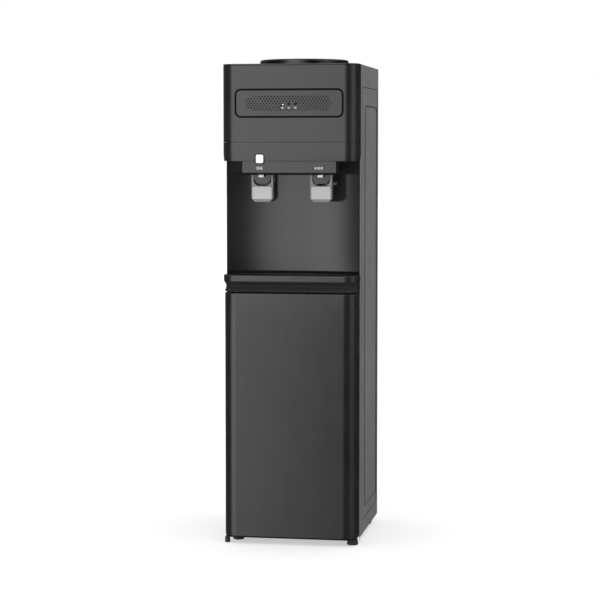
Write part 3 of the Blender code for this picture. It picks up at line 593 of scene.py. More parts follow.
bent_z = calc(t, "ADD", at[1], calc(t, "MULTIPLY_ADD", tall, 0.5, given["Bottom"]))
bent = vector(t, at[0], bent_y, bent_z)
front = node(t, "GeometryNodeSetPosition", {"Geometry": sheet.outputs[0], "Position": bent}).outputs[0]
thickness = {"Offset": vector(t, y=given["Wall"]), "Offset Scale": 1.0, "Individual": False}
deep = node(t, "GeometryNodeExtrudeMesh", {"Mesh": front, **thickness}).outputs[0]
shell = node(t, "GeometryNodeJoinGeometry")
t.links.new(node(t, "GeometryNodeFlipFaces", {0: deep}).outputs[0], shell.inputs[0])
t.links.new(front, shell.inputs[0])
closed = node(t, "GeometryNodeMergeByDistance", {"Geometry": shell.outputs[0], "Distance": 0.00001})
drill_size = {"Vertices": 40, "Radius": given["Shank Radius"], "Depth": 0.08}
drill = node(t, "GeometryNodeMeshCylinder", drill_size).outputs[0]
drills = node(t, "GeometryNodeJoinGeometry")
for side in (-0.5, 0.5):
    spot = vector(t, calc(t, "MULTIPLY", given["Shank Spacing"], side), given["Middle Y"], given["Shank Z"])
    t.links.new(moved(t, drill, Translation=spot, Rotation=(math.pi / 2, 0.0, 0.0)), drills.inputs[0])
bored = node(t, "GeometryNodeMeshBoolean", {0: closed.outputs[0]}, operation="DIFFERENCE")
t.links.new(drills.outputs[0], bored.inputs[1])
close_tree(t, bored.outputs[0], given["Material"], out)

# %% Making the wall
niche_low, niche_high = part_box("niche_panel")
wall_thickness = 0.0025
tap_spacing, tap_height = 0.120, 0.745
niche_wall = grow(
    "niche_wall",
    wall_tree,
    body_of["niche_panel"],
    slot_of["niche_panel"],
    half_width=niche_high.x,
    bottom=niche_low.z,
    top=niche_high.z,
    middle_y=niche_high.y - wall_thickness,
    edge_y=niche_low.y,
    shank_spacing=tap_spacing,
    shank_z=tap_height,
    material=niche_gloss,
)
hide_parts("niche_panel")
print("niche wall", tuple(round(v, 4) for v in (*niche_low, *niche_high)))

# %% [markdown]
# ## The perforated display
#
# Behind the display window there is a beeper, so its panel has a field of small holes. The holes stand in
# rows that are shifted by half a pitch, the outer rows are shorter, and the holes get smaller towards the
# ends of the field. That is a rule, so one tree makes it: a row and a column number for each point, from
# its index. The holes round the three lenses are left out. Each hole is a thin dark disc on the panel's
# front, whose dark is painted shade for the inside of the hole.

# %% The perforation's geometry tree
holes_tree, given, out = geometry_tree(
    "Perforation",
    {
        "Rows": 7,
        "Columns": 28,
        "Pitch X": 0.0062,
        "Pitch Z": 0.0044,
        "Radius": 0.0015,
        "Centre": "Vector",
        "Clear Half Width": 0.0155,
        "Clear Below": 0.010,
        "Clear Above": 0.004,
    },
)
t = holes_tree
count = calc(t, "MULTIPLY", given["Rows"], given["Columns"])
index = node(t, "GeometryNodeInputIndex").outputs[0]
row = calc(t, "FLOOR", calc(t, "DIVIDE", index, given["Columns"]))
column = calc(t, "MODULO", index, given["Columns"])
middle_row = calc(t, "MULTIPLY", calc(t, "SUBTRACT", given["Rows"], 1.0), 0.5)
middle_column = calc(t, "MULTIPLY", calc(t, "SUBTRACT", given["Columns"], 1.0), 0.5)
row_from_middle = calc(t, "SUBTRACT", middle_row, row)
# Every second row is shifted by half a pitch, a quarter to either side.
from_middle = calc(t, "SUBTRACT", calc(t, "SUBTRACT", column, middle_column), 0.25)
shifted = calc(t, "MULTIPLY_ADD", calc(t, "MODULO", row, 2.0), 0.5, from_middle)
across = calc(t, "MULTIPLY", shifted, given["Pitch X"])
upward = calc(t, "MULTIPLY", row_from_middle, given["Pitch Z"])
place = vector_calc(t, "ADD", given["Centre"], vector(t, x=across, z=upward))
points = node(t, "GeometryNodePoints", {"Count": count, "Position": place}).outputs[0]
# The field's ends are rounded: the outer rows stop sooner.
half_field = calc(t, "MULTIPLY", calc(t, "MULTIPLY", given["Columns"], given["Pitch X"]), 0.5)
outer_row = calc(t, "POWER", calc(t, "DIVIDE", row_from_middle, 3.0), 4.0)
shorter = calc(t, "MULTIPLY", outer_row, calc(t, "MULTIPLY", given["Pitch X"], 1.6))
row_end = calc(t, "SUBTRACT", half_field, shorter)
distance = calc(t, "ABSOLUTE", across)
lowest = calc(t, "MULTIPLY", given["Clear Below"], -1.0)
past_end, near, not_low, not_high = (
    node(t, "FunctionNodeCompare", {0: one, 1: other}, operation=operation).outputs[0]
    for one, operation, other in (
        (distance, "GREATER_THAN", row_end),
        (distance, "LESS_THAN", given["Clear Half Width"]),
        (upward, "GREATER_THAN", lowest),
        (upward, "LESS_THAN", given["Clear Above"]),
    )
)
level = node(t, "FunctionNodeBooleanMath", {0: not_low, 1: not_high}, operation="AND").outputs[0]
at_lens = node(t, "FunctionNodeBooleanMath", {0: level, 1: near}, operation="AND").outputs[0]
unwanted = node(t, "FunctionNodeBooleanMath", {0: past_end, 1: at_lens}, operation="OR").outputs[0]
kept = node(t, "GeometryNodeDeleteGeometry", {0: points, "Selection": unwanted}, domain="POINT").outputs[0]
hole_size = {"Vertices": 10, "Radius": given["Radius"], "Depth": 0.0002}
hole = node(t, "GeometryNodeMeshCylinder", hole_size).outputs[0]
facing = moved(t, hole, Rotation=(math.pi / 2, 0.0, 0.0))
toward_end = remap(t, calc(t, "DIVIDE", distance, half_field), 0.90, 1.0, 1.0, 0.65)
placed = copies_on(t, kept, facing, Scale=toward_end)
close_tree(t, placed, given["Material"], out)


# %% Finding middles, and the display's holes as discs of painted shade
def middle_of(solid):
    """The middle of a solid's box, as x, y and z."""
    return [(least + most) / 2 for least, most in zip(*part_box(solid))]


insert_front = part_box("display_insert")[0].y
# Painted shade: flat dark discs stand for the holes, and their dark for the shade inside them.
grow(
    "display_holes",
    holes_tree,
    "cabinet",
    "black_matt",
    centre=(0.0, insert_front, middle_of("display_insert")[2]),
    material=black_trim_and_painted_shade,
)

# %% [markdown]
# ## Printed marks
#
# Marks are printed with thin white ink, a few hundredths of a millimetre proud. Words differ from country
# to country, so the marks here are plain pictures: waves for hot, a snow star for cold, a ring for power.
# Each mark is a set of strokes, discs and rings, drawn as flat shapes on the front and given a hair of
# thickness.


# %% Drawing marks
def on_circle(x, z, radius, angle):
    return (x + radius * math.cos(angle), z + radius * math.sin(angle))


def outline_disc(x, z, radius, sides=20):
    return [on_circle(x, z, radius, i * math.tau / sides) for i in range(sides)]


def outline_stroke(points, width):
    """A polyline with thickness, as one outline."""
    left, right = [], []
    for i, (x, z) in enumerate(points):
        before, after = points[max(i - 1, 0)], points[min(i + 1, len(points) - 1)]
        dx, dz = after[0] - before[0], after[1] - before[1]
        size = math.hypot(dx, dz)
        nx, nz = -dz / size * width / 2, dx / size * width / 2
        left.append((x + nx, z + nz))
        right.append((x - nx, z - nz))
    return left + right[::-1]


def ring_strokes(x, z, radius, width, start=0.0, turn=math.tau, pieces=24):
    """A ring or an arc as short quads."""
    made = []
    for i in range(pieces):
        a, b = start + turn * i / pieces, start + turn * (i + 1) / pieces
        inside, outside = radius - width / 2, radius + width / 2
        corners = ((inside, a), (outside, a), (outside, b), (inside, b))
        made.append([on_circle(x, z, *corner) for corner in corners])
    return made


def sun(x, z, radius):
    """A disc with eight rays."""
    made = [outline_disc(x, z, radius * 0.48)]
    for a in (i * math.tau / 8 for i in range(8)):
        ray = [on_circle(x, z, radius * share, a) for share in (0.68, 1.0)]
        made.append(outline_stroke(ray, radius * 0.16))
    return made


def snow_star(x, z, radius):
    """Six arms, each with two short side arms."""
    made = []
    for a in (i * math.tau / 6 + math.pi / 6 for i in range(6)):
        made.append(outline_stroke([(x, z), on_circle(x, z, radius, a)], radius * 0.16))
        knee = on_circle(x, z, radius * 0.6, a)
        for bend in (-0.9, 0.9):
            made.append(outline_stroke([knee, on_circle(*knee, radius * 0.34, a + bend)], radius * 0.13))
    return made


def waves(x, z, size, count=4):
    """A row of rising waves, for hot water."""
    made = []
    for i in range(count):
        middle = x + (i - (count - 1) / 2) * size * 1.05
        line = []
        for step in range(11):
            sway = size * 0.2 * math.sin(step / 10 * math.tau)
            line.append((middle + sway, z + size * (step / 10 * 2 - 1)))
        made.append(outline_stroke(line, size * 0.30))
    return made


def print_marks(name, outlines, y, material, body, thickness=0.00008):
    """Outlines in X and Z, printed on a front-facing surface at y."""
    bm = bmesh.new()
    for outline in outlines:
        face = bm.faces.new([bm.verts.new((x, y + thickness / 2, z)) for x, z in outline])
        face.normal_update()
        if face.normal.y < 0:
            face.normal_flip()
        raised = bmesh.ops.extrude_face_region(bm, geom=[face])["geom"]
        moving = [item for item in raised if isinstance(item, bmesh.types.BMVert)]
        bmesh.ops.translate(bm, vec=(0, -thickness, 0), verts=moving)
    bmesh.ops.recalc_face_normals(bm, faces=bm.faces)
    piece = new_object(name, to_mesh(name, bm), material)
    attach(piece, body)
    print(name, "shapes", len(outlines))
    return piece


# %% Marks on the display and on the tap fascia
lens_middles = [middle_of("indicator_lens_" + name) for name in ("heat", "power", "cool")]
lens_x = [place[0] for place in lens_middles]
lens_z = lens_middles[1][2]
mark_z, mark_width = lens_z - 0.0080, 0.0005
power = ring_strokes(lens_x[1], mark_z, 0.0017, mark_width, math.radians(120), math.radians(300))
power.append(outline_stroke([(lens_x[1], mark_z + 0.0006), (lens_x[1], mark_z + 0.0024)], mark_width))
print_marks(
    "display_marks",
    [*sun(lens_x[0], mark_z, 0.0025), *power, *snow_star(lens_x[2], mark_z, 0.0026)],
    insert_front,
    white_print,
    "cabinet",
)
fascia_low, fascia_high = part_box("tap_fascia")
hot_x, cold_x = middle_of("hot_nozzle")[0], middle_of("cold_nozzle")[0]
label_z, label_size, star_pitch = 0.7613, 0.0030, 0.0062
tap_marks = waves(hot_x, label_z, label_size)
for place in (-1, 0, 1):
    tap_marks += snow_star(cold_x + place * star_pitch, label_z, label_size)
print_marks("fascia_marks", tap_marks, fascia_low.y, white_print, "cabinet")

# %% [markdown]
# ## Small shapes
#
# The painted shadow lines under the tap fascia, the gasket and the inlet's blades are bars with soft
# edges. One helper makes a bar between two corners with all of its edges rounded, and another joins several
# into one piece. A rounded bar costs few faces and never looks like a plain block.


# %% Bars with rounded edges
def bar_mesh(low, high, radius, steps=2):
    """A box between two corners with rounded edges, as a bmesh."""
    bm = bmesh.new()
    bmesh.ops.create_cube(bm, size=1.0)
    low, high = Vector(low), Vector(high)
    size = high - low
    bmesh.ops.scale(bm, vec=size, verts=bm.verts)
    bmesh.ops.translate(bm, vec=(low + high) / 2, verts=bm.verts)
    width = min(radius, min(size) * 0.45)
    bmesh.ops.bevel(bm, geom=bm.edges[:], offset=width, segments=steps, affect="EDGES", profile=0.5)
    return bm


def finish_mesh(name, parts, material, body):
    """Joins bmeshes into one piece and gives it to a body."""
    whole = bpy.data.meshes.new(name)
    joined = bmesh.new()
    for bm in parts:
        bm.to_mesh(whole)
        bm.free()
        joined.from_mesh(whole)
    bmesh.ops.recalc_face_normals(joined, faces=joined.faces)
    joined.to_mesh(whole)
    joined.free()
    piece = new_object(name, whole, material)
    smooth(whole, 45)
    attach(piece, body)
    print(name, "faces", len(whole.polygons))
    return piece


# %% [markdown]
# ## Painted shadow lines and shade rings
#
# Under the tap fascia a thin black bar is painted shadow, for the shade below its lower edge, and a short
# black cheek at its right is painted shade for its dark end. The child lock stands in a dark ring, which is
# painted shade in the gap round the button. These thin dark lines are what separates one moulding from the
# next to the eye.

# %% The painted shadow under the fascia, the painted shade of its end and the ring round the lock
# Painted shadow: a black bar under the fascia and a black cheek at its right end stand in for shade.
shadow_line_height, shadow_line_rounding = 0.0040, 0.0006
fascia_lip = bar_mesh(
    (fascia_low.x + 0.001, fascia_low.y + 0.0005, fascia_low.z - shadow_line_height),
    (fascia_high.x - 0.001, fascia_low.y + 0.0060, fascia_low.z - 0.0001),
    shadow_line_rounding,
)
fascia_end_shade = bar_mesh(
    (fascia_high.x + 0.0001, fascia_low.y + 0.0020, fascia_low.z - 0.0038),
    (fascia_high.x + 0.0040, fascia_low.y + 0.0080, fascia_high.z - 0.0006),
    shadow_line_rounding,
)
finish_mesh("fascia_lip", [fascia_lip, fascia_end_shade], black_trim_and_painted_shade, "cabinet")


def rounded_outline(half_x, half_z, radius, x, z, steps=6):
    """A rounded rectangle as (x, z) points."""
    points = []
    for corner, (sx, sz) in enumerate(((1, 1), (-1, 1), (-1, -1), (1, -1))):
        corner_x, corner_z = x + sx * (half_x - radius), z + sz * (half_z - radius)
        for i in range(steps + 1):
            points.append(on_circle(corner_x, corner_z, radius, math.radians(90 * corner + 90 * i / steps)))
    return points


def frame_quads(outer, inner):
    """The band between two outlines with the same number of points, as quads."""
    n = len(outer)
    return [[outer[i], outer[(i + 1) % n], inner[(i + 1) % n], inner[i]] for i in range(n)]


button_low, button_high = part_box("child_lock_button")
button_x, button_z = middle_of("child_lock_button")[::2]
half_x, half_z = (button_high.x - button_low.x) / 2, (button_high.z - button_low.z) / 2
gap, surround = 0.0002, 0.0019
# Painted shade: a dark ring round the child lock stands in for the shade in the gap round the button.
print_marks(
    "lock_surround",
    frame_quads(
        rounded_outline(half_x + surround, half_z + surround, 0.0050, button_x, button_z),
        rounded_outline(half_x + gap, half_z + gap, 0.0034, button_x, button_z),
    ),
    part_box("head_lower")[0].y,
    black_trim_and_painted_shade,
    "cabinet",
)

# %% [markdown]
# ## A foot strip along the niche
#
# The niche wall ends in a dark strip above the tray, which is painted shade where the wall meets the tray.
# It follows the same curve as the wall, so the wall's own tree makes it, a little in front of the wall and
# only a few millimetres tall.

# %% The painted shade at the wall's foot
strip_rise, strip_lift = 0.0062, 0.0008
tray_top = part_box("drip_tray")[1].z
# Painted shade: a dark strip along the foot of the wall, above the tray.
grow(
    "niche_foot_strip",
    wall_tree,
    "cabinet",
    "black_matt",
    half_width=niche_high.x - 0.0006,
    bottom=tray_top + 0.0002,
    top=tray_top + strip_rise,
    middle_y=niche_high.y - wall_thickness - strip_lift,
    edge_y=niche_low.y - strip_lift,
    wall=strip_lift - 0.0001,
    material=black_trim_and_painted_shade,
)

# %% [markdown]
# ## A painted highlight on the left lens
#
# A small bright spot with a soft edge, low on the left lens, is a painted highlight: a thin glowing disc
# in front of the smoked lens. Its glow falls off from the middle, which is a distance in the material's own
# coordinates.

# %% The painted highlight
# Painted highlight: a glowing disc in front of the left lens stands in for a highlight on it.
lens_highlight_paint, t, highlight_shader = new_material("painted lens highlight")
highlight_shader.inputs["Emission Strength"].default_value = 1.6
highlight_shader.inputs["Roughness"].default_value = 0.3
spot = (lens_x[0] + 0.0006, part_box("indicator_lens_heat")[0].y - 0.0001, lens_z - 0.0010)
fade = remap(t, vector_calc(t, "DISTANCE", object_place(t), spot), 0.0004, 0.0012, 1.0, 0.0)
t.links.new(colour_mix(t, fade, grey(0.02), grey(0.95)), highlight_shader.inputs["Base Color"])
t.links.new(colour_mix(t, fade, black, (1.0, 0.98, 0.94)), highlight_shader.inputs["Emission Color"])
highlight_disc = outline_disc(spot[0], spot[2], 0.0015, 24)
print_marks("lamp_glow", [highlight_disc], spot[1], lens_highlight_paint, "cabinet")

# %% [markdown]
# ## Screws
#
# The back panel is held by pan-head screws with a cross recess, at an even pitch along both of its edges.
# One tree holds the screw: a low cone for the head and two crossing bars cut out of it. The places come
# in as the vertices of a mesh, and each gets a copy.

# %% The screw tree
screw_tree, given, out = geometry_tree(
    "Screws", {"Head Radius": 0.0034, "Head Height": 0.0018, "Turn": "Vector"}
)
t = screw_tree
cone = {
    "Vertices": 18,
    "Side Segments": 2,
    "Radius Bottom": given["Head Radius"],
    "Radius Top": calc(t, "MULTIPLY", given["Head Radius"], 0.62),
    "Depth": given["Head Height"],
}
dome = node(t, "GeometryNodeMeshCone", cone).outputs[0]
slot_length = calc(t, "MULTIPLY", given["Head Radius"], 1.05)
slot_width = calc(t, "MULTIPLY", given["Head Radius"], 0.26)
lift = vector(t, z=calc(t, "MULTIPLY", given["Head Height"], 0.9))
cross = node(t, "GeometryNodeJoinGeometry")
for wide, tall in ((slot_length, slot_width), (slot_width, slot_length)):
    bar = node(t, "GeometryNodeMeshCube", {"Size": vector(t, wide, tall, given["Head Height"])})
    t.links.new(moved(t, bar.outputs[0], Translation=lift), cross.inputs[0])
recessed = node(t, "GeometryNodeMeshBoolean", {0: dome}, operation="DIFFERENCE")
t.links.new(cross.outputs[0], recessed.inputs[1])
turned = moved(t, recessed.outputs[0], Rotation=given["Turn"])
copies = copies_on(t, given["Geometry"], turned)
close_tree(t, copies, given["Material"], out)

# %% Screws on the back
back_low, back_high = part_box("back_panel")
inset, rows, lowest_screw, highest_screw = 0.0125, 7, back_low.z + 0.020, back_high.z - 0.030
places = [
    (x, back_high.y, lowest_screw + (highest_screw - lowest_screw) * i / (rows - 1))
    for x in (back_low.x + inset, back_high.x - inset)
    for i in range(rows)
]
screw_points = bpy.data.meshes.new("screw places")
screw_points.from_pydata(places, [], [])
grow(
    "back_screws", screw_tree, "cabinet", "zinc_steel", screw_points,
    turn=(-math.pi / 2, 0.3, 0.0), material=zinc,
)

# %% [markdown]
# ## Condenser wires
#
# The bent tube on the back gives off heat through a grid of thin upright wires, welded on both sides of
# it. They stand at an even pitch, so a line of points, one upright per point and a thin round section are
# all it takes.


# %% Two lines of points, and the wire tree
def two_lines(tree, given, count, apart, step):
    """Two equal lines of points from the tree's First input, apart from each other by a vector."""
    both = node(tree, "GeometryNodeJoinGeometry")
    for side in (0.0, 1.0):
        away = vector_calc(tree, "MULTIPLY", apart, (side, side, side))
        start = vector_calc(tree, "ADD", given["First"], away)
        sizes = {"Count": given[count], "Start Location": start, "Offset": step}
        line = node(tree, "GeometryNodeMeshLine", sizes)
        tree.links.new(line.outputs[0], both.inputs[0])
    return both.outputs[0]


wire_tree, given, out = geometry_tree(
    "Upright wires",
    {
        "Count": 31,
        "First": "Vector",
        "Pitch": 0.006,
        "Length": 0.7,
        "Wire Radius": 0.0006,
        "Row Spacing": 0.006,
    },
)
t = wire_tree
feet = two_lines(t, given, "Count", vector(t, y=given["Row Spacing"]), vector(t, x=given["Pitch"]))
upright = node(t, "GeometryNodeCurvePrimitiveLine", {"End": vector(t, z=given["Length"])}).outputs[0]
section = node(t, "GeometryNodeCurvePrimitiveCircle", {"Resolution": 6, "Radius": given["Wire Radius"]})
swept = {"Curve": upright, "Profile Curve": section.outputs[0], "Fill Caps": True}
wire = node(t, "GeometryNodeCurveToMesh", swept).outputs[0]
standing = copies_on(t, feet, wire)
close_tree(t, standing, given["Material"], out)

# %% Wires on the condenser
coil_low, coil_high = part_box("condenser_coil")
tube_radius, wire_radius, wire_pitch, overhang = 0.0024, 0.0006, 0.0060, 0.006
tube_y = coil_high.y - tube_radius
first_x = coil_low.x + overhang
wires = int((coil_high.x - overhang - first_x) / wire_pitch) + 1
grow(
    "condenser_wires",
    wire_tree,
    "cabinet",
    "black_enamel",
    count=wires,
    first=(first_x, tube_y - tube_radius - wire_radius, coil_low.z - overhang),
    pitch=wire_pitch,
    length=coil_high.z - coil_low.z + 2 * overhang,
    wire_radius=wire_radius,
    row_spacing=2 * (tube_radius + wire_radius),
    material=enamel,
)

# %% [markdown]
# ## Vent hoods
#
# Each slot at the foot of the back panel has a small pressed hood over it, which keeps dust and fingers
# out. One hood is modelled, and a tree sets copies of it in rows and columns.


# %% One hood, and a tree that sets it in rows
def prism(bm, near, far):
    """A solid between two outlines with the same number of points."""
    near, far = [bm.verts.new(place) for place in near], [bm.verts.new(place) for place in far]
    bm.faces.new(near)
    bm.faces.new(far[::-1])
    for i in range(len(near)):
        j = (i + 1) % len(near)
        bm.faces.new((near[j], near[i], far[i], far[j]))


hood_length, hood_depth, hood_drop, hood_wall = 0.090, 0.0034, 0.0066, 0.0008
arc = [math.radians(90 * i / 6) for i in range(7)]
outer = [(hood_depth * math.sin(a), hood_drop * math.cos(a)) for a in arc]
inner = [((hood_depth - hood_wall) * math.sin(a), (hood_drop - hood_wall) * math.cos(a)) for a in arc]
cheek_outline = [(0.0, 0.0), *[(y * 0.98, z * 0.98) for y, z in outer]]
half_length = hood_length / 2
hood = bmesh.new()
for outline, x0, x1 in (
    (outer + inner[::-1], -half_length, half_length),
    (cheek_outline, -half_length, hood_wall - half_length),
    (cheek_outline, half_length - hood_wall, half_length),
):
    prism(hood, [(x0, y, z) for y, z in outline], [(x1, y, z) for y, z in outline])
bmesh.ops.recalc_face_normals(hood, faces=hood.faces)
hood_mesh = to_mesh("hood", hood)

rows_tree, given, out = geometry_tree(
    "Rows and columns", {"Rows": 7, "First": "Vector", "Row Pitch": 0.014, "Column Pitch": 0.13}
)
t = rows_tree
spots = two_lines(t, given, "Rows", vector(t, x=given["Column Pitch"]), vector(t, z=given["Row Pitch"]))
copies = copies_on(t, spots, given["Geometry"])
close_tree(t, copies, given["Material"], out)

# %% Hoods over the vents
vent_first_z, vent_pitch, vent_middle = 0.045, 0.014, 0.065
grow(
    "vent_hoods", rows_tree, "cabinet", "charcoal_steel", hood_mesh,
    first=(-vent_middle, back_high.y - 0.0002, vent_first_z), row_pitch=vent_pitch,
    column_pitch=2 * vent_middle, material=steel_paint,
)

# %% [markdown]
# ## Mains inlet and rockers
#
# The inlet's three blades are bright metal in a black socket, and each rocker carries a moulded bar and
# ring for on and off. The marks follow the rocker's bent face: each of their corners is laid on it.

# %% Blades in the inlet
plate_low, plate_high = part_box("rear_fittings_plate")
fittings_x = middle_of("rear_fittings_plate")[0]
inlet_z = plate_low.z + 0.0190
half_wide, half_tall = 0.0012, 0.0022
blades = []
for x, z in ((-0.007, -0.002), (0.0, 0.002), (0.007, -0.002)):
    x, z = fittings_x + x, inlet_z + z
    low = (x - half_wide, plate_low.y + 0.0045, z - half_tall)
    high = (x + half_wide, plate_high.y - 0.0040, z + half_tall)
    blades.append(bar_mesh(low, high, 0.0004))
finish_mesh("inlet_blades", blades, zinc, "cabinet")

# %% Marks on the rockers
rocker_tilt, rocker_half, rocker_rise, rocker_edge = math.radians(-8), 0.0086, 0.0018, 0.0036
mark_gap, mark_depth = 0.00012, 0.0002


def on_rocker(solid, x, up):
    """A point on a rocker's bent outer face, up from its middle, and a hair outside it."""
    sine, cosine = math.sin(rocker_tilt), math.cos(rocker_tilt)
    out = rocker_rise + rocker_rise * abs(up) / rocker_half + mark_gap
    base_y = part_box(solid)[1].y - (rocker_edge * cosine - rocker_half * sine)
    return (x, base_y + out * cosine - up * sine, middle_of(solid)[2] + out * sine + up * cosine)


for rocker in ("heat_switch", "cool_switch"):
    x = middle_of(rocker)[0]
    bar = [(x - 0.0003, -0.0062), (x + 0.0003, -0.0062), (x + 0.0003, -0.0034), (x - 0.0003, -0.0034)]
    bm = bmesh.new()
    for shape in (bar, *ring_strokes(x, 0.0048, 0.0012, 0.0005, pieces=16)):
        face = [on_rocker(rocker, across, up) for across, up in shape]
        prism(bm, face, [(px, py - mark_depth, pz) for px, py, pz in face])
    finish_mesh(rocker + "_marks", [bm], white_print, body_of[rocker])

# %% [markdown]
# ## Door gasket
#
# A rubber lip runs round the inside of the door and closes the gap to the compartment. It only shows when
# the door is open.

# %% The gasket
inner_low, inner_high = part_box("door_inner_panel")
flange_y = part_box("cabinet_liner")[0].y
lip, rim, free_rim, lip_round = 0.0070, 0.0030, 0.0090, 0.0018
x0, x1, z0, z1 = inner_low.x + rim, inner_high.x - free_rim, inner_low.z + rim, inner_high.z - rim
y0, y1 = inner_high.y + 0.0001, flange_y - 0.0012
# The short bars reach a little into the long ones.
short_x0, short_x1 = x0 + lip * 0.6, x1 - lip * 0.6
gasket = [
    bar_mesh((x0, y0, z0), (x0 + lip, y1, z1), lip_round),
    bar_mesh((x1 - lip, y0, z0), (x1, y1, z1), lip_round),
    bar_mesh((short_x0, y0, z0), (short_x1, y1, z0 + lip), lip_round),
    bar_mesh((short_x0, y0, z1 - lip), (short_x1, y1, z1), lip_round),
]
finish_mesh("door_gasket", gasket, rubber, "door")

# %% [markdown]
# ## Ribs in the bottle seat
#
# Short ribs on the funnel hold the bottle's shoulder off the wall, so that air can follow the water down.
# They stand round the funnel at even angles.

# %% Ribs round the funnel
seat_x, seat_y = middle_of("bottle_seat")[:2]
rib_profile = [(0.0420, 0.9490), (0.0700, 0.9614), (0.0712, 0.9640), (0.0700, 0.9652), (0.0430, 0.9530)]
rib_half = 0.0010
rib = bmesh.new()
prism(rib, [(r, -rib_half, z) for r, z in rib_profile], [(r, rib_half, z) for r, z in rib_profile])
bmesh.ops.recalc_face_normals(rib, faces=rib.faces)
rib_mesh = to_mesh("rib", rib)

ribs_tree, given, out = geometry_tree("Ring of copies", {"Count": 12, "Centre": "Vector"})
t = ribs_tree
index = node(t, "GeometryNodeInputIndex").outputs[0]
spots = node(t, "GeometryNodePoints", {"Count": given["Count"], "Position": given["Centre"]}).outputs[0]
angle = calc(t, "MULTIPLY", calc(t, "DIVIDE", index, given["Count"]), math.tau)
placed = copies_on(t, spots, given["Geometry"], Rotation=vector(t, z=angle))
close_tree(t, placed, given["Material"], out)
grow(
    "seat_ribs", ribs_tree, "bottle_seat", "black_gloss", rib_mesh,
    centre=(seat_x, seat_y, 0.0), material=black_gloss,
)

# %% [markdown]
# ## Floor
#
# The floor is plain and pale. Close to the dispenser it is an ordinary matt surface, so that it takes a
# soft contact shadow. Further out it turns into an even white, as a studio sweep does.

# %% The floor
bm = bmesh.new()
bmesh.ops.create_circle(bm, cap_ends=True, segments=96, radius=30.0)
floor_mesh = to_mesh("floor", bm)
floor_paint, t, near_floor = new_material("pale floor")
near_floor.inputs["Roughness"].default_value = 0.9
near_floor.inputs["Specular IOR Level"].default_value = 0.0
speckle = object_noise(t, 60.0, 4.0)
t.links.new(colour_mix(t, speckle, grey(0.86), grey(0.90)), near_floor.inputs["Base Color"])
share = remap(t, vector_calc(t, "LENGTH", object_place(t)), 0.20, 1.0, 0.45, 1.0, soft=True)
sweep = node(t, "ShaderNodeEmission", {"Color": (1.0, 1.0, 1.0, 1.0), "Strength": 1.15})
mixed = node(t, "ShaderNodeMixShader", {0: share, 1: near_floor.outputs[0], 2: sweep.outputs[0]})
t.links.new(mixed.outputs[0], t.nodes["Material Output"].inputs["Surface"])
floor = new_object("floor", floor_mesh, floor_paint)
floor.visible_glossy = False
print("floor made")

# %% [markdown]
# ## Light
#
# Dark glossy plastic has almost no colour of its own: it shows what it mirrors. So the dispenser stands
# in a round tent of soft cloth that only reflections can see. The cloth glows most in front and to the
# left, where the flat fronts mirror it to the camera. It is dark to the right of that, so the rounded
# corners turn nearly black, and one more glow further right draws a thin line down each corner. The glow
# is a curve over the direction, which a colour ramp holds. An even white sky, which takes no part in the
# reflections, lights everything softly, and a lamp overhead brightens the floor.


# %% The tent
def around(azimuth, distance, z):
    """A place at an azimuth from the dispenser's front, positive to the right."""
    return (distance * math.sin(math.radians(azimuth)), -distance * math.cos(math.radians(azimuth)), z)


def glow_ramp(tree, angle, stops):
    """A ramp over a full turn, from (degrees, glow) stops."""
    ramp = node(tree, "ShaderNodeValToRGB", {0: remap(tree, angle, -180.0, 180.0)})
    ramp.color_ramp.interpolation = "LINEAR"
    while len(ramp.color_ramp.elements) < len(stops):
        ramp.color_ramp.elements.new(0.5)
    for element, (degrees, glow) in zip(ramp.color_ramp.elements, stops):
        element.position = (degrees + 180.0) / 360.0
        element.color = (glow, glow, glow, 1.0)
    return ramp.outputs[0]


tent_radius, tent_height, tent_depth = 1.8, 3.0, 1.0
rim_steps = 96
bm = bmesh.new()
lower, upper = (
    [bm.verts.new(around(i * 360 / rim_steps, tent_radius, z)) for i in range(rim_steps)]
    for z in (-tent_depth, tent_height)
)
for i in range(rim_steps):
    j = (i + 1) % rim_steps
    bm.faces.new((lower[i], lower[j], upper[j], upper[i]))
bm.faces.new(upper)
tent_mesh = to_mesh("tent", bm)

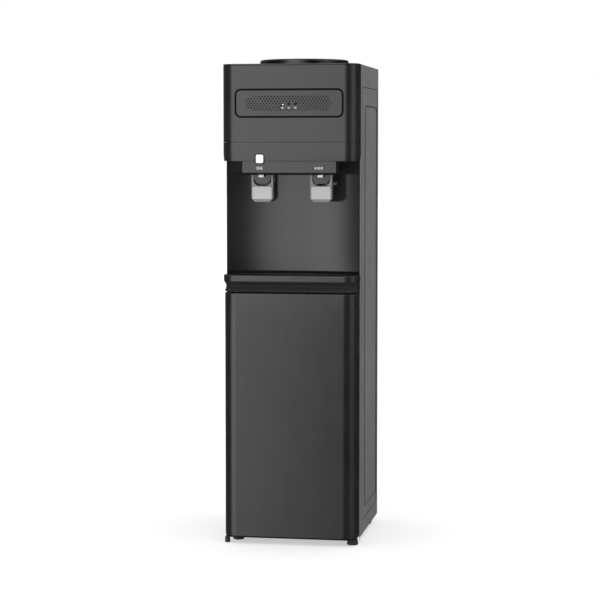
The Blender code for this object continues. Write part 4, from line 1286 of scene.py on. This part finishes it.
# %% The glow of the tent's cloth
cloth, t = new_material("glowing cloth")[:2]
t.nodes.clear()
at = split(t, object_place(t))
turn = calc(t, "DEGREES", calc(t, "ARCTAN2", at[0], calc(t, "MULTIPLY", at[1], -1.0)))
front_stops = [
    (-180, 0.03), (-140, 0.07), (-70, 0.01), (-55, 0.02), (-46, 0.17), (-40, 0.38), (-36, 0.60), (-29, 0.88),
    (-20, 1.0), (-14, 0.98), (-9, 0.91), (-4, 0.82), (3, 0.60), (7, 0.42), (12, 0.24), (17, 0.10), (22, 0.04),
    (30, 0.0),
]
side_stops = [(30, 0.0), (42, 0.02), (52, 0.20), (70, 0.42), (88, 0.20), (98, 0.03), (120, 0.01), (165, 0.01)]
# Low down the main glow lies further to the left, which darkens the door towards its right edge.
low_shift = remap(t, at[2], 0.37, 0.46, 14.0, 0.0)
front_glow = glow_ramp(t, calc(t, "ADD", turn, low_shift), front_stops)
side_dim = remap(t, at[2], 0.15, 0.72, 0.45, 1.0)
side_glow = colour_mix(t, side_dim, black, glow_ramp(t, turn, side_stops))
both = {6: front_glow, 7: side_glow, "Factor": 1.0}
glow = node(t, "ShaderNodeMix", both, data_type="RGBA", blend_type="ADD").outputs[2]
# High up the cloth turns towards an even sky, and the lid is even too.
glow = colour_mix(t, remap(t, at[2], 1.3, 2.4, 0.0, 0.28), glow, white)
glow = colour_mix(t, calc(t, "GREATER_THAN", at[2], tent_height - 0.001), glow, grey(0.36))
# The strength grows over the height of the door and settles to an even one above it.
most = 1.10
low_down = remap(t, at[2], -0.3, 0.38, 0.82, most)
high_up = remap(t, at[2], 0.38, 0.46, 1.0, 1.0 / most)
strength = calc(t, "MULTIPLY", low_down, high_up)
emission = node(t, "ShaderNodeEmission", {"Color": glow, "Strength": calc(t, "MULTIPLY", strength, 2.45)})
node(t, "ShaderNodeOutputMaterial", {0: emission.outputs[0]})
tent = new_object("tent", tent_mesh, cloth)
tent.visible_camera = tent.visible_diffuse = tent.visible_shadow = tent.visible_transmission = False

# %% The sky and the lamp
room = bpy.data.worlds.new("room")
bpy.context.scene.world = room
room.use_nodes = True
room.node_tree.nodes["Background"].inputs["Color"].default_value = (1.0, 1.0, 1.0, 1.0)
room.cycles_visibility.glossy = False
overhead = bpy.data.objects.new("overhead", bpy.data.lights.new("overhead", "AREA"))
bpy.context.scene.collection.objects.link(overhead)
overhead.data.size = 4.0
overhead.data.energy = 30.0
overhead.location = (0.0, -0.6, 3.2)
overhead.visible_camera = overhead.visible_glossy = False
print("tent, sky and", overhead.name, "made")

# %% [markdown]
# ## Finishing
#

# %% The end
print("the end")
